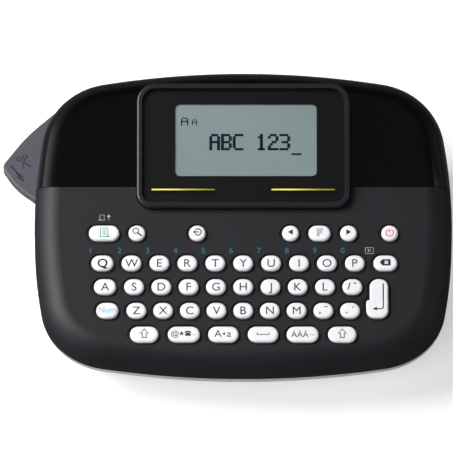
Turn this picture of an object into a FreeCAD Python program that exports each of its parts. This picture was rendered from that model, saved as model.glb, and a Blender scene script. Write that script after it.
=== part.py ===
import FreeCAD, Part
import os
import re
from math import degrees, radians

import Sketcher

# Hand-held label maker with a keyboard, as separate named pieces.
# Frame: +X to the right, +Y to the rear, +Z up, origin on the table under the middle of the case.
# The sloping deck has a frame of its own: "across" along X, "up the deck" from its front edge, and its normal.

SIZES = [
    # alias, value in mm or degrees, what it is
    ("half_width", 70.7, "case, middle to side"),
    ("half_depth", 56, "case, middle to front or rear"),
    ("front_bow", 280, "radius of the front and rear edges in plan"),
    ("side_bow", 190, "radius of the side edges in plan"),
    ("corner_radius", 25, "corners of the case in plan"),
    ("parting_height", 19.2, "joint between the upper and lower case"),
    ("deck_front_height", 27.5, "deck plane above the front edge"),
    ("deck_slope", 9, "deck, rising to the rear"),
    ("roll_off", 8.3, "rounding from the deck to the sides"),
    ("inner_roll", 4, "rounding inside the upper case, under the roll-off"),
    ("wall", 2.4, "case wall"),
    ("seam", 0.3, "gap between upper and lower case"),
    ("base_inset", 0.5, "lower case set in from the upper"),
    ("band_height", 1.9, "upright band at the top of the lower case"),
    ("base_taper", 33, "slope of the lower case under its band, from upright"),
    ("base_round", 2, "rounding around the underside"),
    ("skin", 1.2, "gloss cover"),
    ("skin_gap", 0.15, "under and around the gloss cover"),
    ("skin_skirt", 9.5, "depth of the gloss cover down the sides"),
    ("cover_start", 66.5, "front edge of the gloss cover, up the deck"),
    ("cover_lean", 19, "front edge of the gloss cover, leaning to the rear down the sides"),
    # display
    ("hood_start", 57.8, "front edge of the display bezel, up the deck"),
    ("hood_rise", 2.4, "bezel rim above the deck at its front edge"),
    ("hood_tilt", 6.5, "bezel rim against the deck"),
    ("hood_width", 72.2, "display bezel"),
    ("hood_length", 44.4, "display bezel, front to rear"),
    ("hood_front_round", 5.2, "bezel front corners"),
    ("hood_rear_round", 6.6, "bezel rear corners"),
    ("hood_depth", 3.4, "bezel below the deck plane"),
    ("hood_gap", 0.2, "around the bezel in the deck"),
    ("rim", 1.8, "bezel rim around the window"),
    ("rim_round", 0.8, "outer edge of the bezel rim"),
    ("window_gap", 0.15, "around the window"),
    ("window_drop", 0.35, "window below the rim"),
    ("window_thickness", 1.4, "display window"),
    ("glass_width", 52.6, "display glass"),
    ("glass_length", 29.6, "display glass"),
    ("glass_thickness", 2.8, "display glass"),
    ("glass_shift", 2.2, "display glass behind the middle of the bezel"),
    ("glass_gap", 0.3, "around and above the display glass"),
    # keys
    ("key_small", 5.7, "round keys and the height of every key"),
    ("key_letter", 6.7, "letter keys"),
    ("key_edge", 7.5, "first letter keys, num and font keys"),
    ("key_erase", 8.1, "backspace key"),
    ("key_shift", 9.6, "shift keys"),
    ("key_long", 10.3, "print, capitals and space keys"),
    ("key_picker", 10.8, "symbol and accent keys"),
    ("enter_width", 6.3, "enter key, upper part"),
    ("enter_foot", 7.5, "enter key, lower part"),
    ("enter_length", 14.4, "enter key, front to rear"),
    ("enter_foot_length", 6.6, "enter key, lower part"),
    ("enter_round", 2.9, "corners of the enter key"),
    ("key_rise", 1.3, "key top above the deck"),
    ("key_round", 0.9, "rounding of a key top"),
    ("key_gap", 0.35, "around a key in its opening"),
    ("ring_width", 0.65, "shallow ring around a key opening"),
    ("ring_depth", 0.45, "shallow ring around a key opening"),
    ("flange", 0.7, "key foot beyond its cap"),
    ("flange_thickness", 1.1, "key foot"),
    ("flange_gap", 0.3, "key foot below the deck wall"),
    ("key_travel", 1, "stroke of a key"),
    ("stroke_gap", 0.3, "key foot above the mat when pressed"),
    ("edge_step", 9.8, "first key of a letter row to its neighbour"),
    ("erase_step", 10.3, "last key of the top letter row to backspace"),
    ("enter_step", 9, "last key of the middle letter row to enter"),
    ("first_row", 11.3, "shift row, up the deck"),
    ("row_pitch", 8.8, "letter rows"),
    ("last_row_gap", 11.15, "from the top letter row to the function row"),
    ("pitch_bottom", 13.34, "shift row, across"),
    ("pitch_low", 9, "lowest letter row, across"),
    ("pitch_home", 9.2, "middle letter row, across"),
    ("pitch_top", 9.42, "top letter row, across"),
    ("print_across", -47, "print key"),
    ("preview_across", -35.9, "preview key"),
    ("escape_across", -15.5, "escape key"),
    ("cursor_left", 16, "left cursor key, across"),
    ("font_across", 25.8, "font key"),
    ("cursor_right", 35.6, "right cursor key, across"),
    ("power_across", 49.5, "power key"),
    # under the deck
    ("mat_thickness", 1.2, "keypad mat"),
    ("board_thickness", 1.2, "main board"),
    ("mat_half_width", 53.6, "keypad mat and main board"),
    ("mat_front", 7, "mat, up the deck"),
    ("mat_rear", 52.6, "mat, up the deck"),
    ("mat_round", 12, "front corners of the mat"),
    ("chip_side", 12, "controller chip under the board"),
    ("chip_height", 1.4, "controller chip under the board"),
    # base
    ("opening_side", 14.3, "opening for the back cover, in from the sides"),
    ("opening_front", 20.5, "opening for the back cover, in from the front"),
    ("opening_rear", 42.5, "opening for the back cover, in from the rear"),
    ("ledge", 1.4, "ledge around the opening"),
    ("ledge_height", 1.3, "ledge above the table"),
    ("cover_gap", 0.25, "around the back cover"),
    ("cover_round", 4, "corners of the back cover"),
    ("cover_rib", 1.6, "ribs on the back cover"),
    ("grip_width", 26, "thumb grip on the back cover"),
    ("grip_start", 4, "thumb grip, in from the rear of the opening"),
    ("grip_groove", 1.1, "width of a groove in the thumb grip"),
    ("grip_pitch", 2.2, "grooves of the thumb grip"),
    ("grip_depth", 0.5, "grooves of the thumb grip"),
    ("bay_wall", 1.4, "walls of the bays"),
    ("bay_ceiling", 2, "ceiling of the bays"),
    ("cassette_inboard", 20.9, "cassette, in from the left side of the case"),
    ("cassette_width", 60, "cassette"),
    ("cassette_depth", 46, "cassette, front to rear"),
    ("cassette_height", 15.4, "cassette"),
    ("cassette_floor", 3.3, "underside of the cassette"),
    ("cassette_shell", 1.2, "cassette wall"),
    ("cassette_nose", 20, "tape outlet of the cassette, front to rear"),
    ("bay_gap", 0.5, "around the cassette"),
    ("nose_start", 5, "front of the tape outlet, from the front of the cassette"),
    ("reel_gap", 1, "between the spools and the cassette wall"),
    ("reel_core", 5, "radius of a spool core"),
    ("tape_reel", 17, "radius of the rolled tape"),
    ("ink_reel", 9, "radius of the rolled ink ribbon"),
    ("cell_radius", 5.25, "AAA cell"),
    ("cell_length", 43.7, "AAA cell without its nub"),
    ("cell_pitch", 10.75, "from one cell to the next"),
    ("cell_floor", 3, "underside of the cells"),
    ("nub_radius", 1.9, "AAA cell nub"),
    ("nub_length", 0.8, "AAA cell nub"),
    ("contact_thickness", 0.4, "battery contact plates"),
    ("contact_half", 4, "battery contact plates, middle to side"),
    ("spring_radius", 3.2, "wide end of a contact spring"),
    # tape path
    ("path_inboard", 17.3, "plane of the tape, in from the left side of the case"),
    ("tape_thickness", 0.2, "tape"),
    ("tape_width", 12, "tape"),
    ("tape_bottom", 4.8, "lower edge of the tape"),
    ("tape_gap", 0.1, "tape to roller and print head"),
    ("head_thickness", 2.4, "print head"),
    ("head_half", 5, "print head, middle to end"),
    ("outlet_margin", 0.8, "around the tape in the case wall"),
    ("roller_radius", 3.6, "platen roller"),
    ("roller_forward", 11, "platen roller axis, in front of the opening's rear edge"),
    ("axle_radius", 1, "platen roller axle"),
    ("running_gap", 0.05, "between an axle and its bore"),
    ("bearing_wall", 0.8, "around the axle in its bearing"),
    # gears
    ("module_size", 0.8, "gear module"),
    ("mesh_gap", 0.12, "added to the gears' centre distances"),
    ("gear_bottom", 28.4, "underside of the gears"),
    ("gear_thickness", 2.4, "gears"),
    ("motor_radius", 7, "drive motor"),
    ("motor_bottom", 7, "underside of the motor"),
    ("motor_shaft", 0.75, "radius of the motor shaft"),
    ("gear_pin", 1.5, "radius of the idler gear's pin"),
    # cutter
    ("pivot_inboard", 22.5, "lever pivot, in from the left side of the case"),
    ("pivot_forward", 14, "lever pivot, in from the rear of the case"),
    ("pivot_radius", 2, "lever pivot pin"),
    ("pivot_post", 4, "radius of the post under the lever"),
    ("lever_boss", 5, "radius of the lever around its pin"),
    ("tip_across", -33.8, "lever tip from the pivot"),
    ("tip_along", -16.8, "lever tip from the pivot"),
    ("nose_across", -21, "lever's front corner from the pivot"),
    ("nose_along", -31.6, "lever's front corner from the pivot"),
    ("heel_across", -15.2, "lever's rear corner from the pivot"),
    ("heel_along", 5.9, "lever's rear corner from the pivot"),
    ("nose_width", 5.2, "lever's front corner to its inner edge"),
    ("lever_bottom", 22.5, "underside of the lever"),
    ("lever_thickness", 5, "cutter lever"),
    ("lever_gap", 0.4, "above and below the lever in its slot"),
    ("rear_bend_across", -25.6, "bend in the lever's rear edge, from the pivot"),
    ("rear_bend_along", -4.5, "bend in the lever's rear edge, from the pivot"),
    ("front_bend_across", -29.33, "bend in the lever's front edge, from the pivot"),
    ("front_bend_along", -24.77, "bend in the lever's front edge, from the pivot"),
    ("lever_round", 3, "tip of the lever"),
    ("rear_bow", 60, "rounding of the bend in the lever's rear edge"),
    ("front_bow_round", 25, "rounding of the bend in the lever's front edge"),
    ("lever_under", 2.8, "rounding under the lever's outer edge"),
    ("lever_edge", 0.5, "rounding over the lever's outer edge"),
    ("blade_swing", 18, "blade from the pivot"),
    ("blade_bearing", -112, "direction from the pivot to the blade, degrees"),
    ("blade_thickness", 0.5, "cutter blade"),
    ("blade_length", 2.6, "cutter blade"),
    ("web_thickness", 2.3, "blade holder under the lever"),
    ("web_behind", 1, "blade holder behind the blade"),
    ("blade_bare", 0.9, "cutting edge ahead of the blade holder"),
    # screws
    ("screw_radius", 1.4, "case screws"),
    ("screw_head", 2.6, "radius of a screw head"),
    ("screw_length", 13.2, "case screws under the head"),
    ("screw_head_height", 1.8, "case screws"),
    ("screw_seat", 12.6, "seat of a screw head above the table"),
    ("screw_inboard", 8.2, "front screws, in from the sides of the case"),
    ("screw_forward", 15, "rear screws, in from the rear of the case"),
    ("screw_front", -20, "front screws, from the middle"),
    ("screw_rear_left", -36, "left rear screw, across"),
    ("screw_rear_right", 38, "right rear screw, across"),
    ("screw_boss", 3.2, "radius of the screw bosses"),
    ("screw_gap", 0.15, "around a screw"),
]

GRIP_GROOVES = 6
PLATEN_TEETH = 12
IDLER_TEETH = 26
PINION_TEETH = 8
IDLER_BEARING = 45   # direction from the platen roller to the idler gear, degrees
PINION_BEARING = 60  # direction from the idler gear to the motor pinion, degrees
# Gear teeth, in modules: below and above the pitch circle, and half their width at the root and the tip.
BELOW_PITCH, ABOVE_PITCH, ROOT_HALF, TIP_HALF = 1.1, 0.8, 0.8, 0.32
TOOTH_BURIED = 0.4   # part of a tooth inside its disc, in modules

# Places that several pieces share, as rules over the sizes above.
BAND_BOTTOM = "parting_height - seam - band_height"
LEFT_EDGE = "-half_width + opening_side"
RIGHT_EDGE = "half_width - opening_side"
NEAR_EDGE = "opening_front - half_depth"
FAR_EDGE = "half_depth - opening_rear"
PATH = "-half_width + path_inboard"
ROLLER = (f"{PATH} - tape_thickness / 2 - tape_gap - roller_radius", f"{FAR_EDGE} - roller_forward")
CASSETTE_LEFT = "-half_width + cassette_inboard"
CASSETTE_RIGHT = f"{CASSETTE_LEFT} + cassette_width"
CASSETTE_CEILING = "cassette_floor + cassette_height + bay_gap"
CELL_CEILING = "cell_floor + 2 * cell_radius + bay_gap"
CELLS_LEFT = f"{RIGHT_EDGE} - 4 * cell_pitch - bay_gap"
PIVOT = ("-half_width + pivot_inboard", "half_depth - pivot_forward")
GEAR_TOP = "gear_bottom + gear_thickness"
SCREWS = [("screw_inboard - half_width", "screw_front"), ("half_width - screw_inboard", "screw_front"),
          ("screw_rear_left", "half_depth - screw_forward"), ("screw_rear_right", "half_depth - screw_forward")]
KEY_FOOT = "-wall - flange_gap - flange_thickness"
MAT_TOP = f"{KEY_FOOT} - key_travel - stroke_gap"

doc = FreeCAD.newDocument("LabelMaker")
sheet = doc.addObject("Spreadsheet::Sheet", "Sizes")
for line, (alias, value, meaning) in enumerate(SIZES, 1):
    sheet.set(f"A{line}", meaning)
    sheet.set(f"B{line}", str(value))
    sheet.setAlias(f"B{line}", alias)
doc.recompute()
ALIASES = {alias for alias, value, meaning in SIZES}
NODES = []


# ---------------------------------------------------------------- helpers

def qualified(rule):
    """A rule such as "wall + skin" with each of its words pointing at its cell."""
    return re.sub(r"[a-z][a-z_]*", lambda word: "Sizes." * (word.group() in ALIASES) + word.group(), str(rule))


def size(rule):
    return float(sheet.evalExpression(qualified(rule)))


def bind(item, path, rule):
    item.setExpression(path, qualified(rule))


def add(kind, name):
    return doc.addObject(kind, name)


def node(item, label):
    """Marks a finished sub-part, whose label names its file."""
    item.Label = label
    NODES.append(item)
    return item


def place(item, across="0", along="0", up="0"):
    bind(item, "Placement.Base.x", across)
    bind(item, "Placement.Base.y", along)
    bind(item, "Placement.Base.z", up)


def place_on_deck(item, across="0", up_deck="0", above="0", tilt="0"):
    """Lays an item's own XY plane on the deck, at a place across and up the deck."""
    item.Placement = FreeCAD.Placement(FreeCAD.Vector(), FreeCAD.Rotation(FreeCAD.Vector(1, 0, 0), 1))
    bind(item, "Placement.Rotation.Angle", f"deck_slope + {tilt}")
    place(item, across,
          f"({up_deck}) * cos(deck_slope) - ({above}) * sin(deck_slope) - half_depth",
          f"({up_deck}) * sin(deck_slope) + ({above}) * cos(deck_slope) + deck_front_height")


def origin_plane(body, role):
    return next(item for item in body.Origin.OriginFeatures if item.Role == role)


def sketch_on(body, name, lift="0", role="XY_Plane"):
    sketch = body.newObject("Sketcher::SketchObject", name)
    sketch.AttachmentSupport = (origin_plane(body, role), [""])
    sketch.MapMode = "FlatFace"
    bind(sketch, "AttachmentOffset.Base.z", lift)
    return sketch


def dimension(sketch, rule, kind, *where):
    index = sketch.addConstraint(Sketcher.Constraint(kind, *where, size(rule)))
    sketch.setExpression(f"Constraints[{index}]", qualified(rule))


def pin_point(sketch, shape, point, across, along):
    """Fixes one point of a shape in the sketch, by rules from the sketch's origin."""
    dimension(sketch, across, "DistanceX", -1, 1, shape, point)
    dimension(sketch, along, "DistanceY", -1, 1, shape, point)


def polygon(sketch, corners):
    points = [FreeCAD.Vector(size(across), size(along), 0) for across, along in corners]
    sides = [sketch.addGeometry(Part.LineSegment(start, end))
             for start, end in zip(points, points[1:] + points[:1])]
    for side, following in zip(sides, sides[1:] + sides[:1]):
        sketch.addConstraint(Sketcher.Constraint("Coincident", side, 2, following, 1))
    for side, (across, along) in zip(sides, corners):
        pin_point(sketch, side, 1, across, along)


def rectangle(sketch, left, right, near, far):
    polygon(sketch, [(left, near), (right, near), (right, far), (left, far)])


def circle(sketch, across, along, radius):
    centre = FreeCAD.Vector(size(across), size(along), 0)
    index = sketch.addGeometry(Part.Circle(centre, FreeCAD.Vector(0, 0, 1), size(radius)))
    pin_point(sketch, index, 3, across, along)
    dimension(sketch, radius, "Radius", index)


def arc(sketch, centre, radius, start, end):
    """An arc from one direction to another, in degrees, left free to move."""
    base = Part.Circle(FreeCAD.Vector(*centre, 0), FreeCAD.Vector(0, 0, 1), radius)
    return sketch.addGeometry(Part.ArcOfCircle(base, radians(start), radians(end)))


def tangent_ring(sketch, pieces):
    """Joins shapes end to start, each tangent to the next."""
    for piece, following in zip(pieces, pieces[1:] + pieces[:1]):
        sketch.addConstraint(Sketcher.Constraint("Tangent", piece, 2, following, 1))


def slot_outline(sketch, width, height, across="0", along="0"):
    """A slot with round ends, or a circle where its width is its height."""
    if size(f"({width}) - ({height})") < 0.001:
        circle(sketch, across, along, f"({height}) / 2")
        return
    radius = size(f"({height}) / 2")
    reach = size(f"(({width}) - ({height})) / 2")
    x, y = size(across), size(along)
    right = arc(sketch, (x + reach, y), radius, -90, 90)
    top = sketch.addGeometry(Part.LineSegment(FreeCAD.Vector(x + reach, y + radius, 0),
                                              FreeCAD.Vector(x - reach, y + radius, 0)))
    left = arc(sketch, (x - reach, y), radius, 90, 270)
    bottom = sketch.addGeometry(Part.LineSegment(FreeCAD.Vector(x - reach, y - radius, 0),
                                                 FreeCAD.Vector(x + reach, y - radius, 0)))
    tangent_ring(sketch, [right, top, left, bottom])
    pin_point(sketch, right, 3, f"({across}) + (({width}) - ({height})) / 2", along)
    pin_point(sketch, left, 3, f"({across}) - (({width}) - ({height})) / 2", along)
    dimension(sketch, f"({height}) / 2", "Radius", right)


def case_outline(sketch, inset):
    """The case in plan: eight tangent arcs, the same front and rear, left and right, set in all round."""
    front, side = size(f"front_bow - ({inset})"), size(f"side_bow - ({inset})")
    corner = size(f"corner_radius - ({inset})")
    front_centre, side_centre = size("front_bow - half_depth"), size("half_width - side_bow")
    # The corner arc touches the front arc and the side arc from inside.
    middle = FreeCAD.Vector(0, front_centre, 0)
    flank = FreeCAD.Vector(side_centre, 0, 0)
    crossing = Part.Circle(middle, FreeCAD.Vector(0, 0, 1), front - corner).toShape().distToShape(
        Part.Circle(flank, FreeCAD.Vector(0, 0, 1), side - corner).toShape())
    corner_point = max((pair[0] for pair in crossing[1]), key=lambda spot: spot.x - spot.y)
    meet_front = (corner_point - middle).normalize()
    meet_side = (corner_point - flank).normalize()
    low = -degrees(meet_front.getAngle(FreeCAD.Vector(1, 0, 0)))
    high = -degrees(meet_side.getAngle(FreeCAD.Vector(1, 0, 0)))
    x, y = corner_point.x, corner_point.y
    pieces = [
        arc(sketch, (0, front_centre), front, -180 - low, low),
        arc(sketch, (x, y), corner, low, high),
        arc(sketch, (side_centre, 0), side, high, -high),
        arc(sketch, (x, -y), corner, -high, -low),
        arc(sketch, (0, -front_centre), front, -low, 180 + low),
        arc(sketch, (-x, -y), corner, 180 + low, 180 + high),
        arc(sketch, (-side_centre, 0), side, 180 + high, 180 - high),
        arc(sketch, (-x, y), corner, 180 - high, 180 - low),
    ]
    tangent_ring(sketch, pieces)
    pin_point(sketch, pieces[0], 3, "0", "front_bow - half_depth")
    pin_point(sketch, pieces[4], 3, "0", "half_depth - front_bow")
    pin_point(sketch, pieces[2], 3, "half_width - side_bow", "0")
    pin_point(sketch, pieces[6], 3, "side_bow - half_width", "0")
    for index, piece in enumerate(pieces):
        radius = ["front_bow", "corner_radius", "side_bow", "corner_radius"][index % 4]
        dimension(sketch, f"{radius} - ({inset})", "Radius", piece)


def pad(body, name, sketch, length, down=False):
    feature = body.newObject("PartDesign::Pad", name)
    feature.Profile = sketch
    feature.Reversed = down
    bind(feature, "Length", length)
    sketch.Visibility = False
    return feature


def pocket(body, name, sketch, length, up=False, both_ways=False):
    feature = body.newObject("PartDesign::Pocket", name)
    feature.Profile = sketch
    feature.Reversed = up
    feature.Midplane = both_ways
    bind(feature, "Length", length)
    return feature


def fillet(body, name, base, edges, radius):
    """Rounds the edges of a feature, each found by its place."""
    feature = body.newObject("PartDesign::Fillet", name)
    feature.Base = (base, edges)
    bind(feature, "Radius", radius)
    return feature


def edges_where(feature, test):
    """Names of a feature's edges whose two ends both pass a test."""
    doc.recompute()
    shape = feature.Shape
    return [f"Edge{index}" for index, edge in enumerate(shape.Edges, 1)
            if all(test(vertex.Point) for vertex in edge.Vertexes)]


def edges_at_height(feature, height):
    return edges_where(feature, lambda point: abs(point.z - height) < 0.001)


def upright_edges(feature, test=lambda point: True):
    """Names of the straight edges along Z whose ends both pass a test."""
    names = edges_where(feature, test)
    edges = {name: feature.Shape.getElement(name) for name in names}
    return [name for name, edge in edges.items()
            if len(edge.Vertexes) == 2 and (edge.Vertexes[0].Point - edge.Vertexes[1].Point).cross(
                FreeCAD.Vector(0, 0, 1)).Length < 0.001]


def box(name, left, right, near, far, low, high):
    item = add("Part::Box", name)
    bind(item, "Length", f"({right}) - ({left})")
    bind(item, "Width", f"({far}) - ({near})")
    bind(item, "Height", f"({high}) - ({low})")
    place(item, left, near, low)
    return item


def cylinder(name, across, along, low, high, radius):
    item = add("Part::Cylinder", name)
    bind(item, "Radius", radius)
    bind(item, "Height", f"({high}) - ({low})")
    place(item, across, along, low)
    return item


def compound(name, items):
    item = add("Part::Compound", name)
    item.Links = items
    return item


def cut(name, base, tool):
    item = add("Part::Cut", name)
    item.Base = base
    item.Tool = tool
    return item


def fuse(name, items):
    item = add("Part::MultiFuse", name)
    item.Shapes = items
    return item


def common(name, items):
    item = add("Part::MultiCommon", name)
    item.Shapes = items
    return item


# ---------------------------------------------------------------- case shapes

def upper_envelope(name, inset, start, roll):
    """The upper case as a full block, set in all round, with its sloping deck and rolled-off edge."""
    body = add("PartDesign::Body", name)
    outline = sketch_on(body, f"{name}_plan", lift=start)
    case_outline(outline, inset)
    block = pad(body, f"{name}_block", outline, f"deck_front_height + half_depth - ({start})")
    profile = sketch_on(body, f"{name}_slope", role="YZ_Plane")
    reach = "2 * half_depth"
    drop = f"deck_front_height + half_depth * tan(deck_slope) - ({inset}) / cos(deck_slope)"
    polygon(profile, [(f"-{reach}", f"{drop} - {reach} * tan(deck_slope)"),
                      (reach, f"{drop} + {reach} * tan(deck_slope)"),
                      (reach, "deck_front_height + 3 * half_depth"),
                      (f"-{reach}", "deck_front_height + 3 * half_depth")])
    sloped = pocket(body, f"{name}_deck", profile, "4 * half_width", both_ways=True)
    low = size(start)
    fillet(body, f"{name}_roll", sloped, edges_where(sloped, lambda point: point.z > low + 0.001), roll)
    return body


def lower_envelope(name, inset, floor, top):
    """The lower case as a full block, set in all round: an upright band above a tapered underside."""
    body = add("PartDesign::Body", name)
    outline = sketch_on(body, f"{name}_plan", lift=BAND_BOTTOM)
    case_outline(outline, f"base_inset + {inset}")
    pad(body, f"{name}_band", outline, f"({top}) - ({BAND_BOTTOM})")
    underside = pad(body, f"{name}_underside", outline, f"{BAND_BOTTOM} - ({floor})", down=True)
    bind(underside, "TaperAngle", "-base_taper")
    fillet(body, f"{name}_round", underside, edges_at_height(underside, size(floor)),
           f"base_round - ({inset}) / 2")
    return body


def deck_block(name, start, floor, height, tilt="0"):
    """A wide block whose near lower edge lies along the deck, turned about that edge by a tilt."""
    block = add("Part::Box", name)
    bind(block, "Length", "3 * half_width")
    bind(block, "Width", "2 * half_depth")
    bind(block, "Height", height)
    place_on_deck(block, "-1.5 * half_width", start, floor, tilt)
    return block


def cover_zone(name, grow):
    """Everything above the gloss cover's skirt and behind its front edge, which leans to the rear."""
    start = f"cover_start - ({grow})"
    above = deck_block(f"{name}_above", f"{start} - half_depth / 2", f"-skin_skirt - {grow}",
                       f"skin_skirt + {grow} + half_depth")
    behind = deck_block(f"{name}_behind", f"{start} + half_depth * sin(cover_lean)",
                        "-half_depth * cos(cover_lean)", "2 * half_depth", "cover_lean")
    return common(name, [above, behind])


# ---------------------------------------------------------------- keys

def row_place(row):
    """Rule for a row's place up the deck: row 1 is the shift row and row 5 the function row."""
    if row == 5:
        return "first_row + 3 * row_pitch + last_row_gap"
    return f"first_row + {row - 1} * row_pitch"


def letter_row(names, row, pitch):
    """A row of ten keys: a wider first key, then nine centred on the case."""
    first = (names[0], f"-4 * {pitch} - edge_step", row, "key_edge")
    return [first] + [(name, f"{index - 5} * {pitch}", row, "key_letter")
                      for index, name in enumerate(names) if index > 0]


def key_caps():
    """Every key but enter: (node, place across, row, width). Caps with one node move together."""
    signs = "punctuation_keys"
    caps = letter_row([f"key_{letter}" for letter in "qwertyuiop"], 4, "pitch_top")
    caps += letter_row([f"key_{letter}" for letter in "asdfghjkl"] + [signs], 3, "pitch_home")
    caps += letter_row(["key_num"] + [f"key_{letter}" for letter in "zxcvbnm"] + [signs, signs], 2, "pitch_low")
    caps += [("key_backspace", "4 * pitch_top + erase_step", 4, "key_erase")]
    bottom = [("shift_keys", "key_shift"), ("picker_keys", "key_picker"), ("key_capitals", "key_long"),
              ("key_space", "key_long"), ("picker_keys", "key_picker"), ("shift_keys", "key_shift")]
    caps += [(name, f"{index - 2.5} * pitch_bottom", 1, width) for index, (name, width) in enumerate(bottom)]
    functions = [("key_print", "print_across", "key_long"), ("key_preview", "preview_across", "key_small"),
                 ("key_escape", "escape_across", "key_small"), ("cursor_keys", "cursor_left", "key_small"),
                 ("key_font", "font_across", "key_edge"), ("cursor_keys", "cursor_right", "key_small"),
                 ("key_power", "power_across", "key_small")]
    caps += [(name, across, 5, width) for name, across, width in functions]
    return caps


def raised_slot(body, name, width, grow, low, high):
    """One layer of a key or of its opening: a round-ended slot, grown all round, between two levels."""
    plan = sketch_on(body, f"{name}_plan", lift=low)
    slot_outline(plan, f"{width} + 2 * ({grow})", f"key_small + 2 * ({grow})")
    return pad(body, name, plan, f"({high}) - ({low})")


def key_cap(name, across, row, width):
    body = add("PartDesign::Body", name)
    raised_slot(body, f"{name}_foot", width, "flange", KEY_FOOT, "-wall - flange_gap")
    stem = raised_slot(body, f"{name}_stem", width, "0", "-wall - flange_gap", "key_rise")
    fillet(body, f"{name}_dome", stem, edges_at_height(stem, size("key_rise")), "key_round")
    place_on_deck(body, across, row_place(row))
    return body


def key_opening(name, across, row, width):
    body = add("PartDesign::Body", name)
    raised_slot(body, f"{name}_hole", width, "key_gap", "-2 * wall", "key_rise")
    raised_slot(body, f"{name}_ring", width, "key_gap + ring_width", "-ring_depth", "key_rise")
    place_on_deck(body, across, row_place(row))
    return body


def enter_layer(name, grow, low, high, rounded=False):
    """One layer of the enter key or of its opening: an upright key with a wider foot to the left."""
    body = add("PartDesign::Body", name)
    plan = sketch_on(body, f"{name}_plan", lift=low)
    right, left, foot = (f"enter_width / 2 + {grow}", f"-enter_width / 2 - ({grow})",
                         f"enter_width / 2 - enter_foot - ({grow})")
    top, bottom = f"enter_length / 2 + {grow}", f"-enter_length / 2 - ({grow})"
    notch = f"enter_foot_length - enter_length / 2 + {grow}"
    polygon(plan, [(foot, bottom), (right, bottom), (right, top), (left, top), (left, notch), (foot, notch)])
    block = pad(body, f"{name}_block", plan, f"({high}) - ({low})")
    outer = fillet(body, f"{name}_corners", block, upright_edges(
        block, lambda point: abs(point.y - size(notch)) > 0.001), f"enter_round + {grow}")
    step = fillet(body, f"{name}_step", outer, upright_edges(
        outer, lambda point: point.x < size(foot) + 0.001 and abs(point.y - size(notch)) < 0.001), "key_round")
    if rounded:
        fillet(body, f"{name}_dome", step, edges_at_height(step, size(high)), "key_round * 0.8")
    place_on_deck(body, "4 * pitch_home + enter_step", "first_row + 1.5 * row_pitch")
    return body


def keys():
    """Makes every key node and returns the openings that they need in the deck."""
    caps = {}
    openings = []
    for index, (label, across, row, width) in enumerate(key_caps()):
        caps.setdefault(label, []).append(key_cap(f"cap_{index}", across, row, width))
        openings.append(key_opening(f"opening_{index}", across, row, width))
    for label, bodies in caps.items():
        node(bodies[0] if len(bodies) == 1 else compound(f"{label}_group", bodies), label)
    foot = enter_layer("enter_foot_layer", "flange", KEY_FOOT, "-wall - flange_gap")
    stem = enter_layer("enter_stem", "0", "-wall - flange_gap", "key_rise", rounded=True)
    node(fuse("enter", [foot, stem]), "key_enter")
    hole = enter_layer("enter_hole", "key_gap", "-2 * wall", "key_rise")
    ring = enter_layer("enter_ring", "key_gap + ring_width", "-ring_depth", "key_rise")
    return openings + [fuse("enter_opening", [hole, ring])]


# ---------------------------------------------------------------- display

def hood_shape(name, grow, low, high, rim_radius=None):
    """The display bezel's outline, grown all round, between two levels of the frame of its rim."""
    body = add("PartDesign::Body", name)
    plan = sketch_on(body, f"{name}_plan", lift=low)
    half = f"hood_width / 2 + {grow}"
    rectangle(plan, f"-({half})", half, f"-({grow})", f"hood_length + {grow}")
    shape = pad(body, f"{name}_block", plan, f"({high}) - ({low})")
    middle = size("hood_length / 2")
    shape = fillet(body, f"{name}_front", shape,
                   upright_edges(shape, lambda point: point.y < middle), f"hood_front_round + {grow}")
    corner = size(f"hood_width / 2 + {grow}")
    shape = fillet(body, f"{name}_rear", shape, upright_edges(
        shape, lambda point: point.y > middle and abs(abs(point.x) - corner) < 0.001),
        f"hood_rear_round + {grow}")
    if rim_radius:
        fillet(body, f"{name}_rim", shape, edges_at_height(shape, size(high)), rim_radius)
    place_on_deck(body, "0", "hood_start", "hood_rise", tilt="hood_tilt")
    return body


def glass_box(name, grow, low, high):
    """The display glass, grown all round, between two levels of the frame of the bezel's rim."""
    body = add("PartDesign::Body", name)
    plan = sketch_on(body, f"{name}_plan", lift=low)
    half = f"glass_width / 2 + {grow}"
    rectangle(plan, f"-({half})", half, f"hood_length / 2 + glass_shift - glass_length / 2 - ({grow})",
              f"hood_length / 2 + glass_shift + glass_length / 2 + {grow}")
    pad(body, f"{name}_block", plan, f"({high}) - ({low})")
    place_on_deck(body, "0", "hood_start", "hood_rise", tilt="hood_tilt")
    return body


def display():
    seat = "-window_drop - window_thickness"
    block = hood_shape("bezel_block", "0", "-half_depth / 2", "0", rim_radius="rim_round")
    above_deck = add("Part::Box", "bezel_foot")
    bind(above_deck, "Length", "2 * hood_width")
    bind(above_deck, "Width", "2 * hood_length")
    bind(above_deck, "Height", "half_depth")
    place_on_deck(above_deck, "-hood_width", "hood_start - hood_length / 2", "-hood_depth")
    trimmed = common("bezel_trimmed", [block, above_deck])
    seated = cut("bezel_seated", trimmed, hood_shape("window_seat", "-rim", seat, "hood_rise"))
    node(cut("bezel", seated, glass_box("glass_opening", "glass_gap", "-half_depth / 2", "0")), "display_bezel")
    node(hood_shape("window", "-rim - window_gap", seat, "-window_drop"), "display_window")
    node(glass_box("glass", "0", f"{seat} - glass_gap - glass_thickness", f"{seat} - glass_gap"), "lcd_module")


# ---------------------------------------------------------------- upper case

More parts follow.
